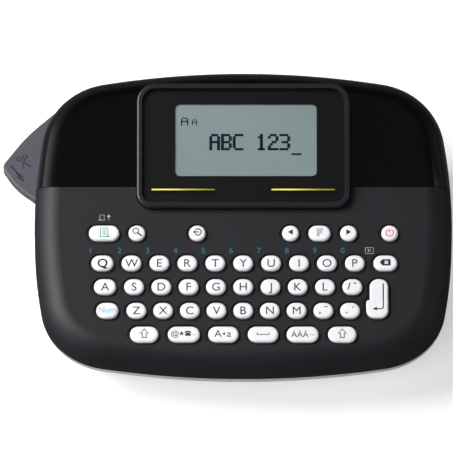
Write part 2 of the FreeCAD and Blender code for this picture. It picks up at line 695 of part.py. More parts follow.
def upper_case(openings):
    below = "parting_height - wall"
    outer = upper_envelope("upper_outer", "0", "parting_height", "roll_off")
    inner = upper_envelope("upper_inner", "wall", below, "inner_roll")
    under_skin = upper_envelope("upper_under_skin", "skin + skin_gap", below, "roll_off - skin - skin_gap")
    within_skin = upper_envelope("upper_within_skin", "skin", below, "roll_off - skin")
    hood_foot = "hood_rise + hood_length * sin(hood_tilt) + hood_depth + hood_gap"
    hood_hole = hood_shape("hood_hole", "hood_gap", f"-({hood_foot})", "2 * hood_rise")

    shell = cut("upper_shell", outer, inner)
    recess = cut("cover_recess", cover_zone("recess_zone", "skin_gap"), under_skin)
    recessed = cut("upper_recessed", shell, recess)
    keyed = cut("upper_keyed", recessed, compound("key_openings", openings))
    bosses = compound("upper_boss_blanks", [
        cylinder(f"upper_boss_{index}", across, along, "parting_height", "deck_front_height + half_depth",
                 "screw_boss") for index, (across, along) in enumerate(SCREWS)])
    braced = fuse("upper_braced", [keyed, common("upper_bosses", [bosses, under_skin])])
    hooded = cut("upper_hooded", braced, hood_hole)
    bores = [cylinder(f"upper_bore_{index}", across, along, "parting_height - wall",
                      "screw_seat + screw_length + wall", "screw_radius + running_gap")
             for index, (across, along) in enumerate(SCREWS)]
    lever_slot = box("lever_slot", "-2 * half_width", f"{PIVOT[0]} - pivot_post",
                     f"{PIVOT[1]} + nose_along - 6 * lever_gap", f"{PIVOT[1]} + heel_along + 4 * lever_gap",
                     "lever_bottom - lever_gap", "lever_bottom + lever_thickness + lever_gap")
    node(cut("upper", hooded, compound("upper_cuts", bores + [lever_slot])), "top_case")

    skin = common("skin_zone", [cut("skin_shell", outer, within_skin), cover_zone("skin_box", "0")])
    node(cut("skin", skin, hood_hole), "gloss_cover")


def deck_sheet(body, name, top, thickness):
    """A flat sheet under the keys, with its front corners rounded to clear the case."""
    plan = sketch_on(body, f"{name}_plan", lift=f"{top} - ({thickness})")
    rectangle(plan, "-mat_half_width", "mat_half_width", "mat_front", "mat_rear")
    sheet_pad = pad(body, f"{name}_sheet", plan, thickness)
    front = size("mat_front")
    return fillet(body, f"{name}_corners", sheet_pad,
                  upright_edges(sheet_pad, lambda point: point.y < front + 0.001), "mat_round")


def keypad():
    mat = add("PartDesign::Body", "mat")
    deck_sheet(mat, "mat", MAT_TOP, "mat_thickness")
    place_on_deck(mat)
    node(mat, "keypad_mat")
    board = add("PartDesign::Body", "board")
    deck_sheet(board, "board", f"{MAT_TOP} - mat_thickness", "board_thickness")
    chips = sketch_on(board, "chip_plan", lift=f"{MAT_TOP} - mat_thickness - board_thickness - chip_height")
    rectangle(chips, "-chip_side / 2", "chip_side / 2", "mat_rear - 2 * chip_side", "mat_rear - chip_side")
    rectangle(chips, "1.5 * chip_side", "2.2 * chip_side", "mat_rear - 1.8 * chip_side", "mat_rear - chip_side")
    pad(board, "chips", chips, "chip_height")
    place_on_deck(board)
    node(board, "main_board")


# ---------------------------------------------------------------- lower case

def lower_bays():
    """Blocks of the cassette and cell bays, and the hollows inside them."""
    low = "wall / 2"
    pocket_left = f"{ROLLER[0]} - roller_radius - bay_gap"
    pocket_near = f"{ROLLER[1]} - roller_radius - 4 * bay_gap"
    near, far = f"{NEAR_EDGE} - bay_wall", f"{FAR_EDGE} + bay_wall"
    divider = f"{CASSETTE_RIGHT} + bay_gap"
    ceiling = f"{CASSETTE_CEILING} + bay_ceiling"
    blocks = [box("cassette_block", f"{LEFT_EDGE} - bay_wall", f"{divider} + bay_wall", near, far, low, ceiling),
              box("roller_block", f"{pocket_left} - bay_wall", divider, f"{pocket_near} - bay_wall", far,
                  low, ceiling),
              box("cell_block", divider, f"{RIGHT_EDGE} + bay_wall", near, far, low,
                  f"{CELL_CEILING} + bay_ceiling")]
    rooms = [box("cassette_hollow", LEFT_EDGE, divider, NEAR_EDGE, FAR_EDGE, "wall", CASSETTE_CEILING),
             box("roller_hollow", pocket_left, divider, pocket_near, FAR_EDGE, "wall", CASSETTE_CEILING),
             box("cell_hollow", f"{divider} + bay_wall", RIGHT_EDGE, NEAR_EDGE, FAR_EDGE, "wall", CELL_CEILING)]
    within = lower_envelope("bay_limits", "wall / 3", "wall", "2 * parting_height")
    hollows = [common("bay_rooms", [fuse("bay_boxes", rooms), within]),
               cover_plate("floor_opening", "ledge", "-wall", "wall + running_gap"),
               cover_plate("cover_recess_plate", "0", "-wall", "ledge_height")]
    return blocks, fuse("bay_hollows", hollows)


def cover_plate(name, gap, low, high):
    """The back cover's outline, set in by a gap, between two heights."""
    body = add("PartDesign::Body", name)
    plan = sketch_on(body, f"{name}_plan", lift=low)
    margin = f"ledge - {gap}"
    rectangle(plan, f"{LEFT_EDGE} - ({margin})", f"{RIGHT_EDGE} + {margin}",
              f"{NEAR_EDGE} - ({margin})", f"{FAR_EDGE} + {margin}")
    plate = pad(body, f"{name}_block", plan, f"({high}) - ({low})")
    fillet(body, f"{name}_corners", plate, upright_edges(plate), f"cover_round - {gap}")
    return body


def gear_places():
    """Places of the idler gear and the motor, as rules."""
    to_idler = f"module_size * {(PLATEN_TEETH + IDLER_TEETH) / 2} + mesh_gap"
    to_pinion = f"module_size * {(IDLER_TEETH + PINION_TEETH) / 2} + mesh_gap"
    idler = (f"{ROLLER[0]} + ({to_idler}) * cos({IDLER_BEARING})",
             f"{ROLLER[1]} + ({to_idler}) * sin({IDLER_BEARING})")
    motor = (f"{idler[0]} + ({to_pinion}) * cos({PINION_BEARING})",
             f"{idler[1]} + ({to_pinion}) * sin({PINION_BEARING})")
    return idler, motor


def lower_case():
    outer = lower_envelope("lower_outer", "0", "0", "parting_height - seam")
    inner = lower_envelope("lower_inner", "wall", "wall", "parting_height")
    trim = lower_envelope("lower_trim", "wall / 4", "wall / 4", "2 * parting_height")
    blocks, hollows = lower_bays()
    idler, motor = gear_places()
    ceiling = f"{CASSETTE_CEILING} + bay_ceiling"
    posts = [cylinder(f"lower_boss_{index}", across, along, "wall / 2", "parting_height - seam", "screw_boss")
             for index, (across, along) in enumerate(SCREWS)]
    posts += [
        cylinder("pivot_post", *PIVOT, "wall / 2", "lever_bottom - lever_gap", "pivot_post"),
        cylinder("pivot_pin", *PIVOT, "wall / 2", "lever_bottom + lever_thickness + 2 * lever_gap",
                 "pivot_radius"),
        cylinder("motor_seat", *motor, "wall / 2", "motor_bottom", "motor_radius - bay_wall"),
        cylinder("idler_post", *idler, f"{ceiling} - bay_ceiling", "gear_bottom - lever_gap", "gear_pin + bearing_wall"),
        cylinder("idler_pin", *idler, f"{ceiling} - bay_ceiling", f"{GEAR_TOP} + 2 * lever_gap", "gear_pin")]
    fittings = common("lower_fittings", [fuse("lower_posts", posts + blocks), trim])
    filled = fuse("lower_filled", [cut("lower_shell", outer, inner), fittings])
    hollowed = cut("lower_hollowed", filled, hollows)
    bearing = cylinder("roller_bearing", *ROLLER, "wall / 2", "tape_bottom - lever_gap", "axle_radius + bearing_wall")
    borne = fuse("lower_borne", [hollowed, bearing])
    cuts = [cylinder("roller_bore", *ROLLER, "wall", f"{ceiling} + wall", "axle_radius + running_gap"),
            box("tape_slot", f"{PATH} - skin", f"{PATH} + skin_gap * 4", f"{FAR_EDGE} - wall",
                "2 * half_depth", "tape_bottom - outlet_margin",
                "tape_bottom + tape_width + outlet_margin")]
    for index, (across, along) in enumerate(SCREWS):
        cuts.append(fuse(f"screw_way_{index}", [
            cylinder(f"screw_bore_{index}", across, along, "0", "parting_height", "screw_radius + screw_gap"),
            cylinder(f"screw_sink_{index}", across, along, "-wall", "screw_seat", "screw_head + screw_gap")]))
    node(cut("lower", borne, compound("lower_cuts", cuts)), "bottom_case")


def back_cover():
    skin = lower_envelope("cover_skin", "0", "0", "parting_height")
    plate = common("cover_trimmed", [cover_plate("cover_plate", "cover_gap", "0", "ledge_height - cover_gap / 2"),
                                     skin])
    ribs = [box(f"cover_rib_{index}", left, right, f"{NEAR_EDGE} + {share} * ({FAR_EDGE} - ({NEAR_EDGE}))",
                f"{NEAR_EDGE} + {share} * ({FAR_EDGE} - ({NEAR_EDGE})) + cover_rib",
                "ledge_height - cover_gap", "cell_floor - cover_gap")
            for index, (left, right, share) in enumerate(
                (left, right, share) for share in (0.2, 0.5, 0.8)
                for left, right in ((f"{LEFT_EDGE} + 2 * bay_gap", f"{CASSETTE_RIGHT} - bay_gap"),
                                    (f"{CELLS_LEFT} + 2 * bay_gap", f"{RIGHT_EDGE} - 2 * bay_gap")))]
    grooves = [box(f"grip_groove_{index}", "-grip_width / 2", "grip_width / 2",
                   f"{FAR_EDGE} - grip_start - {index} * grip_pitch - grip_groove",
                   f"{FAR_EDGE} - grip_start - {index} * grip_pitch", "-grip_depth", "grip_depth")
               for index in range(GRIP_GROOVES)]
    node(cut("cover", fuse("cover_ribbed", [plate] + ribs), compound("grip", grooves)), "back_cover")


# ---------------------------------------------------------------- printing and cutting

def gear(name, teeth, phase, across, along, bore=None):
    """A spur gear with straight-sided teeth, its first tooth turned to the phase in degrees."""
    body = add("PartDesign::Body", name)
    plan = sketch_on(body, f"{name}_plan")
    root = f"module_size * {teeth / 2 - BELOW_PITCH}"
    buried = f"module_size * {teeth / 2 - BELOW_PITCH - TOOTH_BURIED}"
    tip = f"module_size * {teeth / 2 + ABOVE_PITCH}"
    circle(plan, "0", "0", root)
    pad(body, f"{name}_disc", plan, "gear_thickness")
    tooth_plan = sketch_on(body, f"{name}_tooth_plan")
    polygon(tooth_plan, [(buried, f"-{ROOT_HALF} * module_size"), (tip, f"-{TIP_HALF} * module_size"),
                         (tip, f"{TIP_HALF} * module_size"), (buried, f"{ROOT_HALF} * module_size")])
    tooth = pad(body, f"{name}_tooth", tooth_plan, "gear_thickness")
    pattern = body.newObject("PartDesign::PolarPattern", f"{name}_teeth")
    pattern.Originals = [tooth]
    pattern.Axis = (plan, ["N_Axis"])
    pattern.Angle = 360
    pattern.Occurrences = teeth
    body.Tip = pattern
    if bore:
        hole = sketch_on(body, f"{name}_bore_plan")
        circle(hole, "0", "0", bore)
        pocket(body, f"{name}_bore", hole, "gear_thickness", up=True)
    body.Placement = FreeCAD.Placement(FreeCAD.Vector(), FreeCAD.Rotation(FreeCAD.Vector(0, 0, 1), phase))
    place(body, across, along, "gear_bottom")
    return body


def drive():
    """Motor, pinion, idler gear and platen roller. At rest the teeth of each pair interleave."""
    idler, motor = gear_places()
    idler_pitch = 360 / IDLER_TEETH
    idler_phase = IDLER_BEARING + 180 + idler_pitch / 2
    past_tooth = (PINION_BEARING - idler_phase) % idler_pitch
    pinion_phase = PINION_BEARING + 180 + (past_tooth * IDLER_TEETH - 180) / PINION_TEETH
    roller = cylinder("roller", *ROLLER, "tape_bottom - 2 * tape_gap",
                      "tape_bottom + tape_width + 2 * tape_gap", "roller_radius")
    axle = cylinder("axle", *ROLLER, "wall + 2 * tape_gap", GEAR_TOP, "axle_radius")
    wheel = gear("platen_gear", PLATEN_TEETH, IDLER_BEARING, *ROLLER)
    node(fuse("platen", [roller, axle, wheel]), "platen_roller")
    node(gear("idler", IDLER_TEETH, idler_phase, *idler, bore="gear_pin + running_gap"), "idler_gear")
    node(gear("pinion", PINION_TEETH, pinion_phase, *motor, bore="motor_shaft + running_gap"), "motor_pinion")
    can = cylinder("motor_can", *motor, "motor_bottom", "gear_bottom - 2 * bay_gap", "motor_radius")
    collar = cylinder("motor_collar", *motor, "motor_bottom", "gear_bottom - bay_gap", "motor_shaft + wall / 2")
    shaft = cylinder("motor_shaft_rod", *motor, "motor_bottom", f"{GEAR_TOP} + bay_gap", "motor_shaft")
    node(fuse("motor", [can, collar, shaft]), "drive_motor")


def print_head():
    face = f"{PATH} + tape_thickness / 2 + tape_gap"
    plate = box("head", face, f"{face} + head_thickness", f"{ROLLER[1]} - head_half", f"{ROLLER[1]} + head_half",
                "tape_bottom - 2 * tape_gap", CASSETTE_CEILING)
    node(plate, "print_head")


def cassette():
    top = "cassette_floor + cassette_height"
    near = f"{NEAR_EDGE} + bay_gap"
    far = f"{near} + cassette_depth"
    shell = [CASSETTE_LEFT, CASSETTE_RIGHT, near, far, "cassette_floor", top]
    inside = [f"{rule} {sign} cassette_shell" for rule, sign in zip(shell, "+-+-+-")]
    nose_near = f"{near} + nose_start"
    nose_far = f"{nose_near} + cassette_nose"
    nose = box("cassette_nose_block", f"{PATH} - skin", f"{CASSETTE_LEFT} + bay_gap", nose_near, nose_far,
               "cassette_floor", top)
    housing = fuse("cassette_housing", [cut("cassette_case", box("cassette_outside", *shell),
                                            box("cassette_inside", *inside)), nose])
    low, high = "cassette_floor + cassette_shell + tape_gap", f"{top} - cassette_shell - tape_gap"
    across_tape = f"{CASSETTE_RIGHT} - cassette_shell - tape_reel - reel_gap"
    along_tape = f"{near} + cassette_shell + tape_reel + reel_gap"
    roll = cut("tape_roll", cylinder("tape_disc", across_tape, along_tape, low, high, "tape_reel"),
               cylinder("tape_hole", across_tape, along_tape, "0", top, "reel_core + tape_gap * 2"))
    across_ink = f"{CASSETTE_LEFT} + cassette_shell + ink_reel + reel_gap"
    hubs = [cylinder("tape_hub", across_tape, along_tape, low, high, "reel_core"),
            cylinder("ink_spool", across_ink, f"{near} + cassette_shell + ink_reel + reel_gap", low, high,
                     "ink_reel"),
            cylinder("take_up_spool", across_ink, f"{far} - cassette_shell - reel_core - 2 * reel_gap", low, high,
                     "reel_core")]
    pivot_reach = "blade_swing + blade_thickness"
    ribbon_end = f"{PIVOT[1]} - sqrt(({pivot_reach}) ^ 2 - (pivot_inboard - path_inboard) ^ 2) - bay_gap"
    ribbon = box("tape_ribbon", f"{PATH} - tape_thickness / 2", f"{PATH} + tape_thickness / 2", nose_far,
                 ribbon_end, "tape_bottom", "tape_bottom + tape_width")
    node(compound("cassette", [housing, roll] + hubs + [ribbon]), "tape_cassette")


def swung_box(name, inner, outer, behind, ahead, low, high):
    """A box under the lever, by its distances from the pivot and behind or ahead of the blade's edge."""
    item = box(name, inner, outer, behind, ahead, low, high)
    item.Placement = FreeCAD.Placement(FreeCAD.Vector(), FreeCAD.Rotation(FreeCAD.Vector(0, 0, 1), 1))
    bind(item, "Placement.Rotation.Angle", "blade_bearing")
    place(item, f"{PIVOT[0]} + ({inner}) * cos(blade_bearing) - ({behind}) * sin(blade_bearing)",
          f"{PIVOT[1]} + ({inner}) * sin(blade_bearing) + ({behind}) * cos(blade_bearing)", low)
    return item


def cutter():
    body = add("PartDesign::Body", "lever_plate")
    plan = sketch_on(body, "lever_plan")
    polygon(plan, [("tip_across", "tip_along"), ("front_bend_across", "front_bend_along"),
                   ("nose_across", "nose_along"), ("nose_across + nose_width", "nose_along + nose_width / 2.5"),
                   ("lever_boss * 0.7", "-lever_boss * 0.7"), ("lever_boss * 0.4", "lever_boss * 0.9"),
                   ("heel_across", "heel_along"), ("rear_bend_across", "rear_bend_along")])
    shaped = pad(body, "lever_blank", plan, "lever_thickness")
    for name, across, radius in (("lever_tip", "tip_across", "lever_round"),
                                 ("lever_rear", "rear_bend_across", "rear_bow"),
                                 ("lever_front", "front_bend_across", "front_bow_round")):
        corner = size(across)
        shaped = fillet(body, name, shaped, upright_edges(
            shaped, lambda point: abs(point.x - corner) < 0.001), radius)
    outer = size("nose_across") + 0.001
    for name, height, radius in (("lever_underside", 0, "lever_under"),
                                 ("lever_rim", size("lever_thickness"), "lever_edge")):
        shaped = fillet(body, name, shaped, edges_where(
            shaped, lambda point: abs(point.z - height) < 0.001 and point.x < outer), radius)
    boss_plan = sketch_on(body, "lever_boss_plan")
    circle(boss_plan, "0", "0", "lever_boss")
    pad(body, "lever_boss_pad", boss_plan, "lever_thickness")
    bore_plan = sketch_on(body, "lever_bore_plan")
    circle(bore_plan, "0", "0", "pivot_radius + running_gap")
    pocket(body, "lever_bore", bore_plan, "lever_thickness", up=True)
    place(body, *PIVOT, "lever_bottom")
    inner = "blade_swing - blade_thickness / 2 - web_thickness"
    web = swung_box("blade_holder", inner, f"{inner} + web_thickness", "-blade_length - web_behind", "-blade_bare",
                    "tape_bottom + wall", "lever_bottom + bay_gap")
    node(fuse("lever", [body, web]), "cutter_lever")
    blade = swung_box("blade", f"{inner} + web_thickness", "blade_swing + blade_thickness / 2",
                      "-blade_length", "0", "tape_bottom - 2 * tape_gap",
                      "tape_bottom + tape_width + wall")
    node(blade, "cutter_blade")


# ---------------------------------------------------------------- cells and screws

def lying_cylinder(name, kind, across, along, up):
    """A cylinder or cone along Y, its base at the given place."""
    item = add(kind, name)
    item.Placement = FreeCAD.Placement(FreeCAD.Vector(), FreeCAD.Rotation(FreeCAD.Vector(1, 0, 0), -90))
    place(item, across, along, up)
    return item


def cells():
    """Four AAA cells side by side, each facing the other way from its neighbour, and their contacts."""
    spring = f"({FAR_EDGE}) - ({NEAR_EDGE}) - cell_length - nub_length - 2 * contact_thickness - 4 * tape_gap"
    up = "cell_floor + cell_radius"
    cell_items, contact_items = [], []
    for index in range(4):
        across = f"{CELLS_LEFT} + {index + 0.5} * cell_pitch"
        turned = index % 2 == 1
        # The spring end is at the front of even cells and at the rear of odd ones.
        start = f"{NEAR_EDGE} + contact_thickness + 2 * tape_gap + " + ("nub_length" if turned else spring)
        body = lying_cylinder(f"cell_body_{index}", "Part::Cylinder", across, start, up)
        bind(body, "Radius", "cell_radius")
        bind(body, "Height", "cell_length")
        nub = lying_cylinder(f"cell_nub_{index}", "Part::Cylinder", across,
                             f"{start} - nub_length" if turned else f"{start}", up)
        bind(nub, "Radius", "nub_radius")
        bind(nub, "Height", "cell_length + nub_length")
        cell_items.append(fuse(f"cell_{index}", [body, nub]))
        plates = [("near", NEAR_EDGE, f"{NEAR_EDGE} + contact_thickness"),
                  ("far", f"{FAR_EDGE} - contact_thickness", FAR_EDGE)]
        for side, near, far in plates:
            plate = box(f"contact_{side}_{index}", f"{across} - contact_half", f"{across} + contact_half",
                        near, far, f"{up} - contact_half", f"{up} + contact_half")
            if (side == "far") == turned:
                base = f"{near} - ({spring})" if turned else near
                coil = lying_cylinder(f"spring_{index}", "Part::Cone", across, base, up)
                bind(coil, "Radius1", "nub_radius" if turned else "spring_radius")
                bind(coil, "Radius2", "spring_radius" if turned else "nub_radius")
                bind(coil, "Height", f"({spring}) + contact_thickness")
                plate = fuse(f"spring_contact_{index}", [plate, coil])
            contact_items.append(plate)
    node(compound("cell_group", cell_items), "battery_cells")
    node(compound("contact_group", contact_items), "battery_contacts")


def case_screws():
    screws = []
    for index, (across, along) in enumerate(SCREWS):
        head = cylinder(f"screw_head_{index}", across, along, "screw_seat - screw_head_height", "screw_seat",
                        "screw_head")
        shank = cylinder(f"screw_shank_{index}", across, along, "screw_seat - screw_head_height",
                         "screw_seat + screw_length", "screw_radius")
        screws.append(fuse(f"screw_{index}", [head, shank]))
    node(compound("screws", screws), "case_screws")


# ---------------------------------------------------------------- build and write

def broken_objects():
    return [item.Name for item in doc.Objects if {"Invalid", "Error"} & set(item.State)]


def write_nodes():
    os.makedirs("parts", exist_ok=True)
    for item in NODES:
        shape = item.Shape
        if shape.isNull() or not shape.isValid() or not shape.Solids:
            raise RuntimeError(f"{item.Label} is not a sound solid")
    for item in NODES:
        item.Shape.exportStep(f"parts/{item.Label}.step")
        print(f"{item.Label:18} solids {len(item.Shape.Solids):2}  volume {item.Shape.Volume:9.1f}")


upper_case(keys())
display()
keypad()
lower_case()
back_cover()
drive()
print_head()
cassette()
cutter()
cells()
case_screws()
doc.recompute()
if broken_objects():
    raise RuntimeError(f"failed to build: {broken_objects()}")
write_nodes()
print(f"{len(NODES)} nodes")
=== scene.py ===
# %% [markdown]
# # A hand-held label maker
# A wedge-shaped plastic case carries a raised display, a rubber keyboard and a cutter lever. Its shapes and
# its motion were settled beforehand as a frame of named parts. Here those parts get their real finishes,
# and everything that is printed on them is drawn: legends, digits, lines and the picture on the display.

from math import cos, radians, sin, tau

import bpy
from mathutils import Matrix, Vector


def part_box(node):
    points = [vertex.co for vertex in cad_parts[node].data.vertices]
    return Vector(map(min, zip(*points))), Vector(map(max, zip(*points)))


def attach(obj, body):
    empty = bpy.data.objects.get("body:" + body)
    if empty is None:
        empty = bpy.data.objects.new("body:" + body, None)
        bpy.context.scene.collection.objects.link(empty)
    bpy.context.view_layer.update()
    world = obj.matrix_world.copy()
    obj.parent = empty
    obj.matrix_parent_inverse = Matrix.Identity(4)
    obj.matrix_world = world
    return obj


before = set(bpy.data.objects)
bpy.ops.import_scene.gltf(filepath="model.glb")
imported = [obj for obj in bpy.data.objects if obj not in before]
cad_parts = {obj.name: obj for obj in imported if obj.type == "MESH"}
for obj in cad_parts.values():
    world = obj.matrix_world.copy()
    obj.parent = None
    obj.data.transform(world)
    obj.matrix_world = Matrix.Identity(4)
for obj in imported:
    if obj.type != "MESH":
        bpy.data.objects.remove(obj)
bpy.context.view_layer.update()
print("parts in the frame:", len(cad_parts))

# %% [markdown]
# ## Working in millimetres
# The frame is in metres, but a label maker is a thing of millimetres, so each drawing is made in them and
# scaled when it is put in its place. The keyboard slopes up to the rear and the display slopes more, so each
# has a matrix that stands a flat drawing on its surface. The alternative, turning every drawing by hand,
# would hide the two slopes in dozens of numbers.

# %% Two sloping surfaces
MM = 0.001
HALF_DEPTH = 56.0
DECK_FRONT_HEIGHT = 27.5
DECK_SLOPE = radians(9)
HOOD_START, HOOD_RISE, HOOD_TILT = 57.8, 2.4, radians(6.5)

deck = (Matrix.Scale(MM, 4) @ Matrix.Translation((0, -HALF_DEPTH, DECK_FRONT_HEIGHT))
        @ Matrix.Rotation(DECK_SLOPE, 4, "X"))
hood = deck @ Matrix.Translation((0, HOOD_START, HOOD_RISE)) @ Matrix.Rotation(HOOD_TILT, 4, "X")


def span(node, surface):
    """Lowest and highest corner of a part of the frame, square to a sloping surface, in millimetres."""
    flat = surface.inverted()
    points = [flat @ vertex.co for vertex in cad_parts[node].data.vertices]
    return [Vector(pick(p[axis] for p in points) for axis in range(3)) for pick in (min, max)]


KEY_TOP = span("key_g", deck)[1].z
print(f"key tops stand {KEY_TOP:.2f} mm above the deck")

# %% [markdown]
# ## Stage
# The object is shown on a plain pale floor. Its rear third is polished black and mirrors what is straight
# above it, so the air overhead is dark. A soft box close by on the left lights the deck from left to right,
# and two larger ones further off fill the rest. One bright dome would be simpler, but it would turn the
# polished plastic grey. The floor can't be seen from below, so that the underside can be looked at.
# Reflections see the floor as dark card, because a white one draws a pale line along the case's rear edge.

# %% A helper that adds one node
def add_node(tree, kind, inputs=None, **settings):
    """Adds a node: settings are its own properties, inputs its sockets, each a value or a socket to link."""
    made = tree.nodes.new("ShaderNode" + kind)
    for name, value in settings.items():
        setattr(made, name, value)
    for socket, value in (inputs or {}).items():
        if isinstance(value, bpy.types.NodeSocket):
            tree.links.new(value, made.inputs[socket])
        else:
            made.inputs[socket].default_value = value
    return made


def srgb(code):
    """A colour written as hex, as the linear values that shaders use."""
    parts = [int(code[i:i + 2], 16) / 255 for i in (1, 3, 5)]
    return [*(c / 12.92 if c <= 0.04045 else ((c + 0.055) / 1.055) ** 2.4 for c in parts), 1.0]


def deselect():
    """Nothing stays selected, so that the next operator acts only on what it makes."""
    if bpy.context.object and bpy.context.object.mode != "OBJECT":
        bpy.ops.object.mode_set(mode="OBJECT")
    bpy.ops.object.select_all(action="DESELECT")


print("white is", srgb("#ffffff"))

# %% Floor
FLOOR_SIZE = 24  # metres
FLOOR_GAP = 0.02 * MM  # just under the case, so that the two don't share a plane
FLOOR_GLOW = 0.35
deselect()
bpy.ops.mesh.primitive_grid_add(x_subdivisions=4, y_subdivisions=4, size=FLOOR_SIZE,
                                location=(0, 0, -FLOOR_GAP))
floor = bpy.context.object
floor.name = "floor"
paper = bpy.data.materials.new("matt_backdrop_paper")
paper.use_nodes = True
nodes = paper.node_tree
shader = nodes.nodes["Principled BSDF"]
shader.inputs["Base Color"].default_value = srgb("#f4f4f5")
shader.inputs["Roughness"].default_value = 0.9
shader.inputs["Specular IOR Level"].default_value = 0.1
shader.inputs["Emission Color"].default_value = srgb("#ffffff")
shader.inputs["Emission Strength"].default_value = FLOOR_GLOW
underneath = add_node(nodes, "NewGeometry").outputs["Backfacing"]
clear = add_node(nodes, "BsdfTransparent").outputs[0]
dark_card = add_node(nodes, "BsdfDiffuse", {"Color": srgb("#57575a")}).outputs[0]
in_reflection = add_node(nodes, "LightPath").outputs["Is Glossy Ray"]
seen = add_node(nodes, "MixShader", {0: in_reflection, 1: shader.outputs[0], 2: dark_card}).outputs[0]
both = add_node(nodes, "MixShader", {0: underneath, 1: seen, 2: clear})
nodes.links.new(both.outputs[0], nodes.nodes["Material Output"].inputs["Surface"])
floor.data.materials.append(paper)
print("floor made")

# %% Air: brightest low on the left, dark overhead, in front and behind
world = bpy.data.worlds.new("studio_air")
bpy.context.scene.world = world
world.use_nodes = True
air = world.node_tree
direction = add_node(air, "TexCoord").outputs["Generated"]
axes = add_node(air, "SeparateXYZ", {0: direction})
upward = add_node(air, "MapRange", {"Value": axes.outputs["Z"], "From Min": 0.1, "From Max": 0.85,
                                    "To Min": 1.0, "To Max": 0.08},
                  interpolation_type="SMOOTHSTEP").outputs["Result"]
depth = add_node(air, "Math", {0: axes.outputs["Y"]}, operation="ABSOLUTE").outputs[0]
front_rear = add_node(air, "MapRange", {"Value": depth, "From Min": 0.1, "From Max": 0.8,
                                        "To Min": 1.0, "To Max": 0.12},
                      interpolation_type="SMOOTHSTEP").outputs["Result"]
sideways = add_node(air, "MapRange", {"Value": axes.outputs["X"], "From Min": -0.8, "From Max": 0.8,
                                      "To Min": 2.0, "To Max": 0.3}).outputs["Result"]
glow = add_node(air, "Math", {0: upward, 1: front_rear}, operation="MULTIPLY").outputs[0]
glow = add_node(air, "Math", {0: glow, 1: sideways}, operation="MULTIPLY").outputs[0]
air.nodes["Background"].inputs["Color"].default_value = srgb("#f6f8ff")
air.links.new(glow, air.nodes["Background"].inputs["Strength"])
print("air lit")

# %% Softboxes
BOXES = [
    # name, place in metres, width and height in metres, watts, shows in reflections
    ("left_box", (-0.55, 0.12, 0.62), (0.6, 0.6), 8, True),
    ("right_box", (1.6, 0.0, 1.0), (1.6, 1.4), 1.5, True),
    ("front_box", (-0.3, -1.4, 1.6), (1.6, 1.0), 18, False),
]
for name, place, sides, power, mirrored in BOXES:
    deselect()
    bpy.ops.object.light_add(type="AREA", location=place)
    lamp = bpy.context.object
    lamp.name = name
    lamp.rotation_euler = (-Vector(place)).to_track_quat("-Z", "Y").to_euler()
    lamp.data.shape = "RECTANGLE"
    lamp.data.size, lamp.data.size_y = sides
    lamp.data.energy = power
    lamp.visible_glossy = mirrored

# The polished cover and the window would mirror the near box as a hard patch, so it doesn't light them.
unlit = bpy.data.collections.new("unlit_by_left_box")
for name in ("gloss_cover", "display_window"):
    unlit.objects.link(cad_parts[name])
bpy.data.objects["left_box"].light_linking.receiver_collection = unlit
for link in unlit.collection_objects:
    link.light_linking.link_state = "EXCLUDE"
bpy.context.scene.view_settings.view_transform = "Standard"
print("softboxes:", len(BOXES))

# %% Camera
# A long lens far away keeps the sides nearly parallel. It looks down on the keyboard from the front.
CAMERA_HEIGHT = radians(56.02)
CAMERA_DISTANCE = 4.5
VIEW_WIDTH = 153.52 * MM
SENSOR = 36
aim = Vector((-5.65, 1.47, 25.99)) * MM
back = Vector((0, -cos(CAMERA_HEIGHT), sin(CAMERA_HEIGHT)))
bpy.ops.object.camera_add(location=aim + back * CAMERA_DISTANCE, rotation=(radians(90) - CAMERA_HEIGHT, 0, 0))
camera = bpy.context.object
camera.data.sensor_width = SENSOR
camera.data.lens = SENSOR * CAMERA_DISTANCE / VIEW_WIDTH
camera.data.clip_end = 30
bpy.context.scene.camera = camera
print(f"camera lens {camera.data.lens:.0f} mm")

# %% [markdown]
# ## Finishes
# Nearly every part is moulded, and a moulded part has the same few traits: two close shades that drift into
# each other over some millimetres, a fine relief from the tool's texture, and a gloss that varies with it.
# One function makes that, with sizes in millimetres. Where a texture is finer than can show, it is drawn
# coarser. An image would repeat and stretch over the rounded edges, and noise in Object coordinates doesn't.

# %% A finish with drifting shades and a fine relief
def make_finish(name, shades, drift, gloss, relief, **sockets):
    """shades: two hex colours; drift: mm from one to the other; gloss: roughness and how much it varies;
    relief: grain width and depth in mm. The rest are sockets of the Principled shader."""
    material = bpy.data.materials.new(name)
    material.use_nodes = True
    tree = material.node_tree
    shader = tree.nodes["Principled BSDF"]
    where = add_node(tree, "TexCoord").outputs["Object"]
    patches = add_node(tree, "TexNoise", {"Vector": where, "Scale": 1 / (drift * MM), "Detail": 4.0})
    grain = add_node(tree, "TexNoise", {"Vector": where, "Scale": 1 / (relief[0] * MM), "Detail": 2.0})
    colour = add_node(tree, "Mix", {0: patches.outputs["Fac"], 6: srgb(shades[0]), 7: srgb(shades[1])},
                      data_type="RGBA")
    rough = add_node(tree, "MapRange", {"Value": grain.outputs["Fac"], "From Min": 0.3, "From Max": 0.7,
                                        "To Min": gloss[0] - gloss[1], "To Max": gloss[0] + gloss[1]})
    bump = add_node(tree, "Bump", {"Height": grain.outputs["Fac"], "Distance": relief[1] * MM,
                                   "Strength": 1.0})
    tree.links.new(colour.outputs[2], shader.inputs["Base Color"])
    tree.links.new(rough.outputs["Result"], shader.inputs["Roughness"])
    tree.links.new(bump.outputs["Normal"], shader.inputs["Normal"])
    for socket, value in sockets.items():
        shader.inputs[socket.replace("_", " ")].default_value = value
    return material


def dress(material, *names):
    """Gives parts of the frame their finish."""
    for name in names:
        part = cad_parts[name]
        part.data.materials.clear()
        part.data.materials.append(material)
    print(f"{material.name}: {len(names)} part(s)")


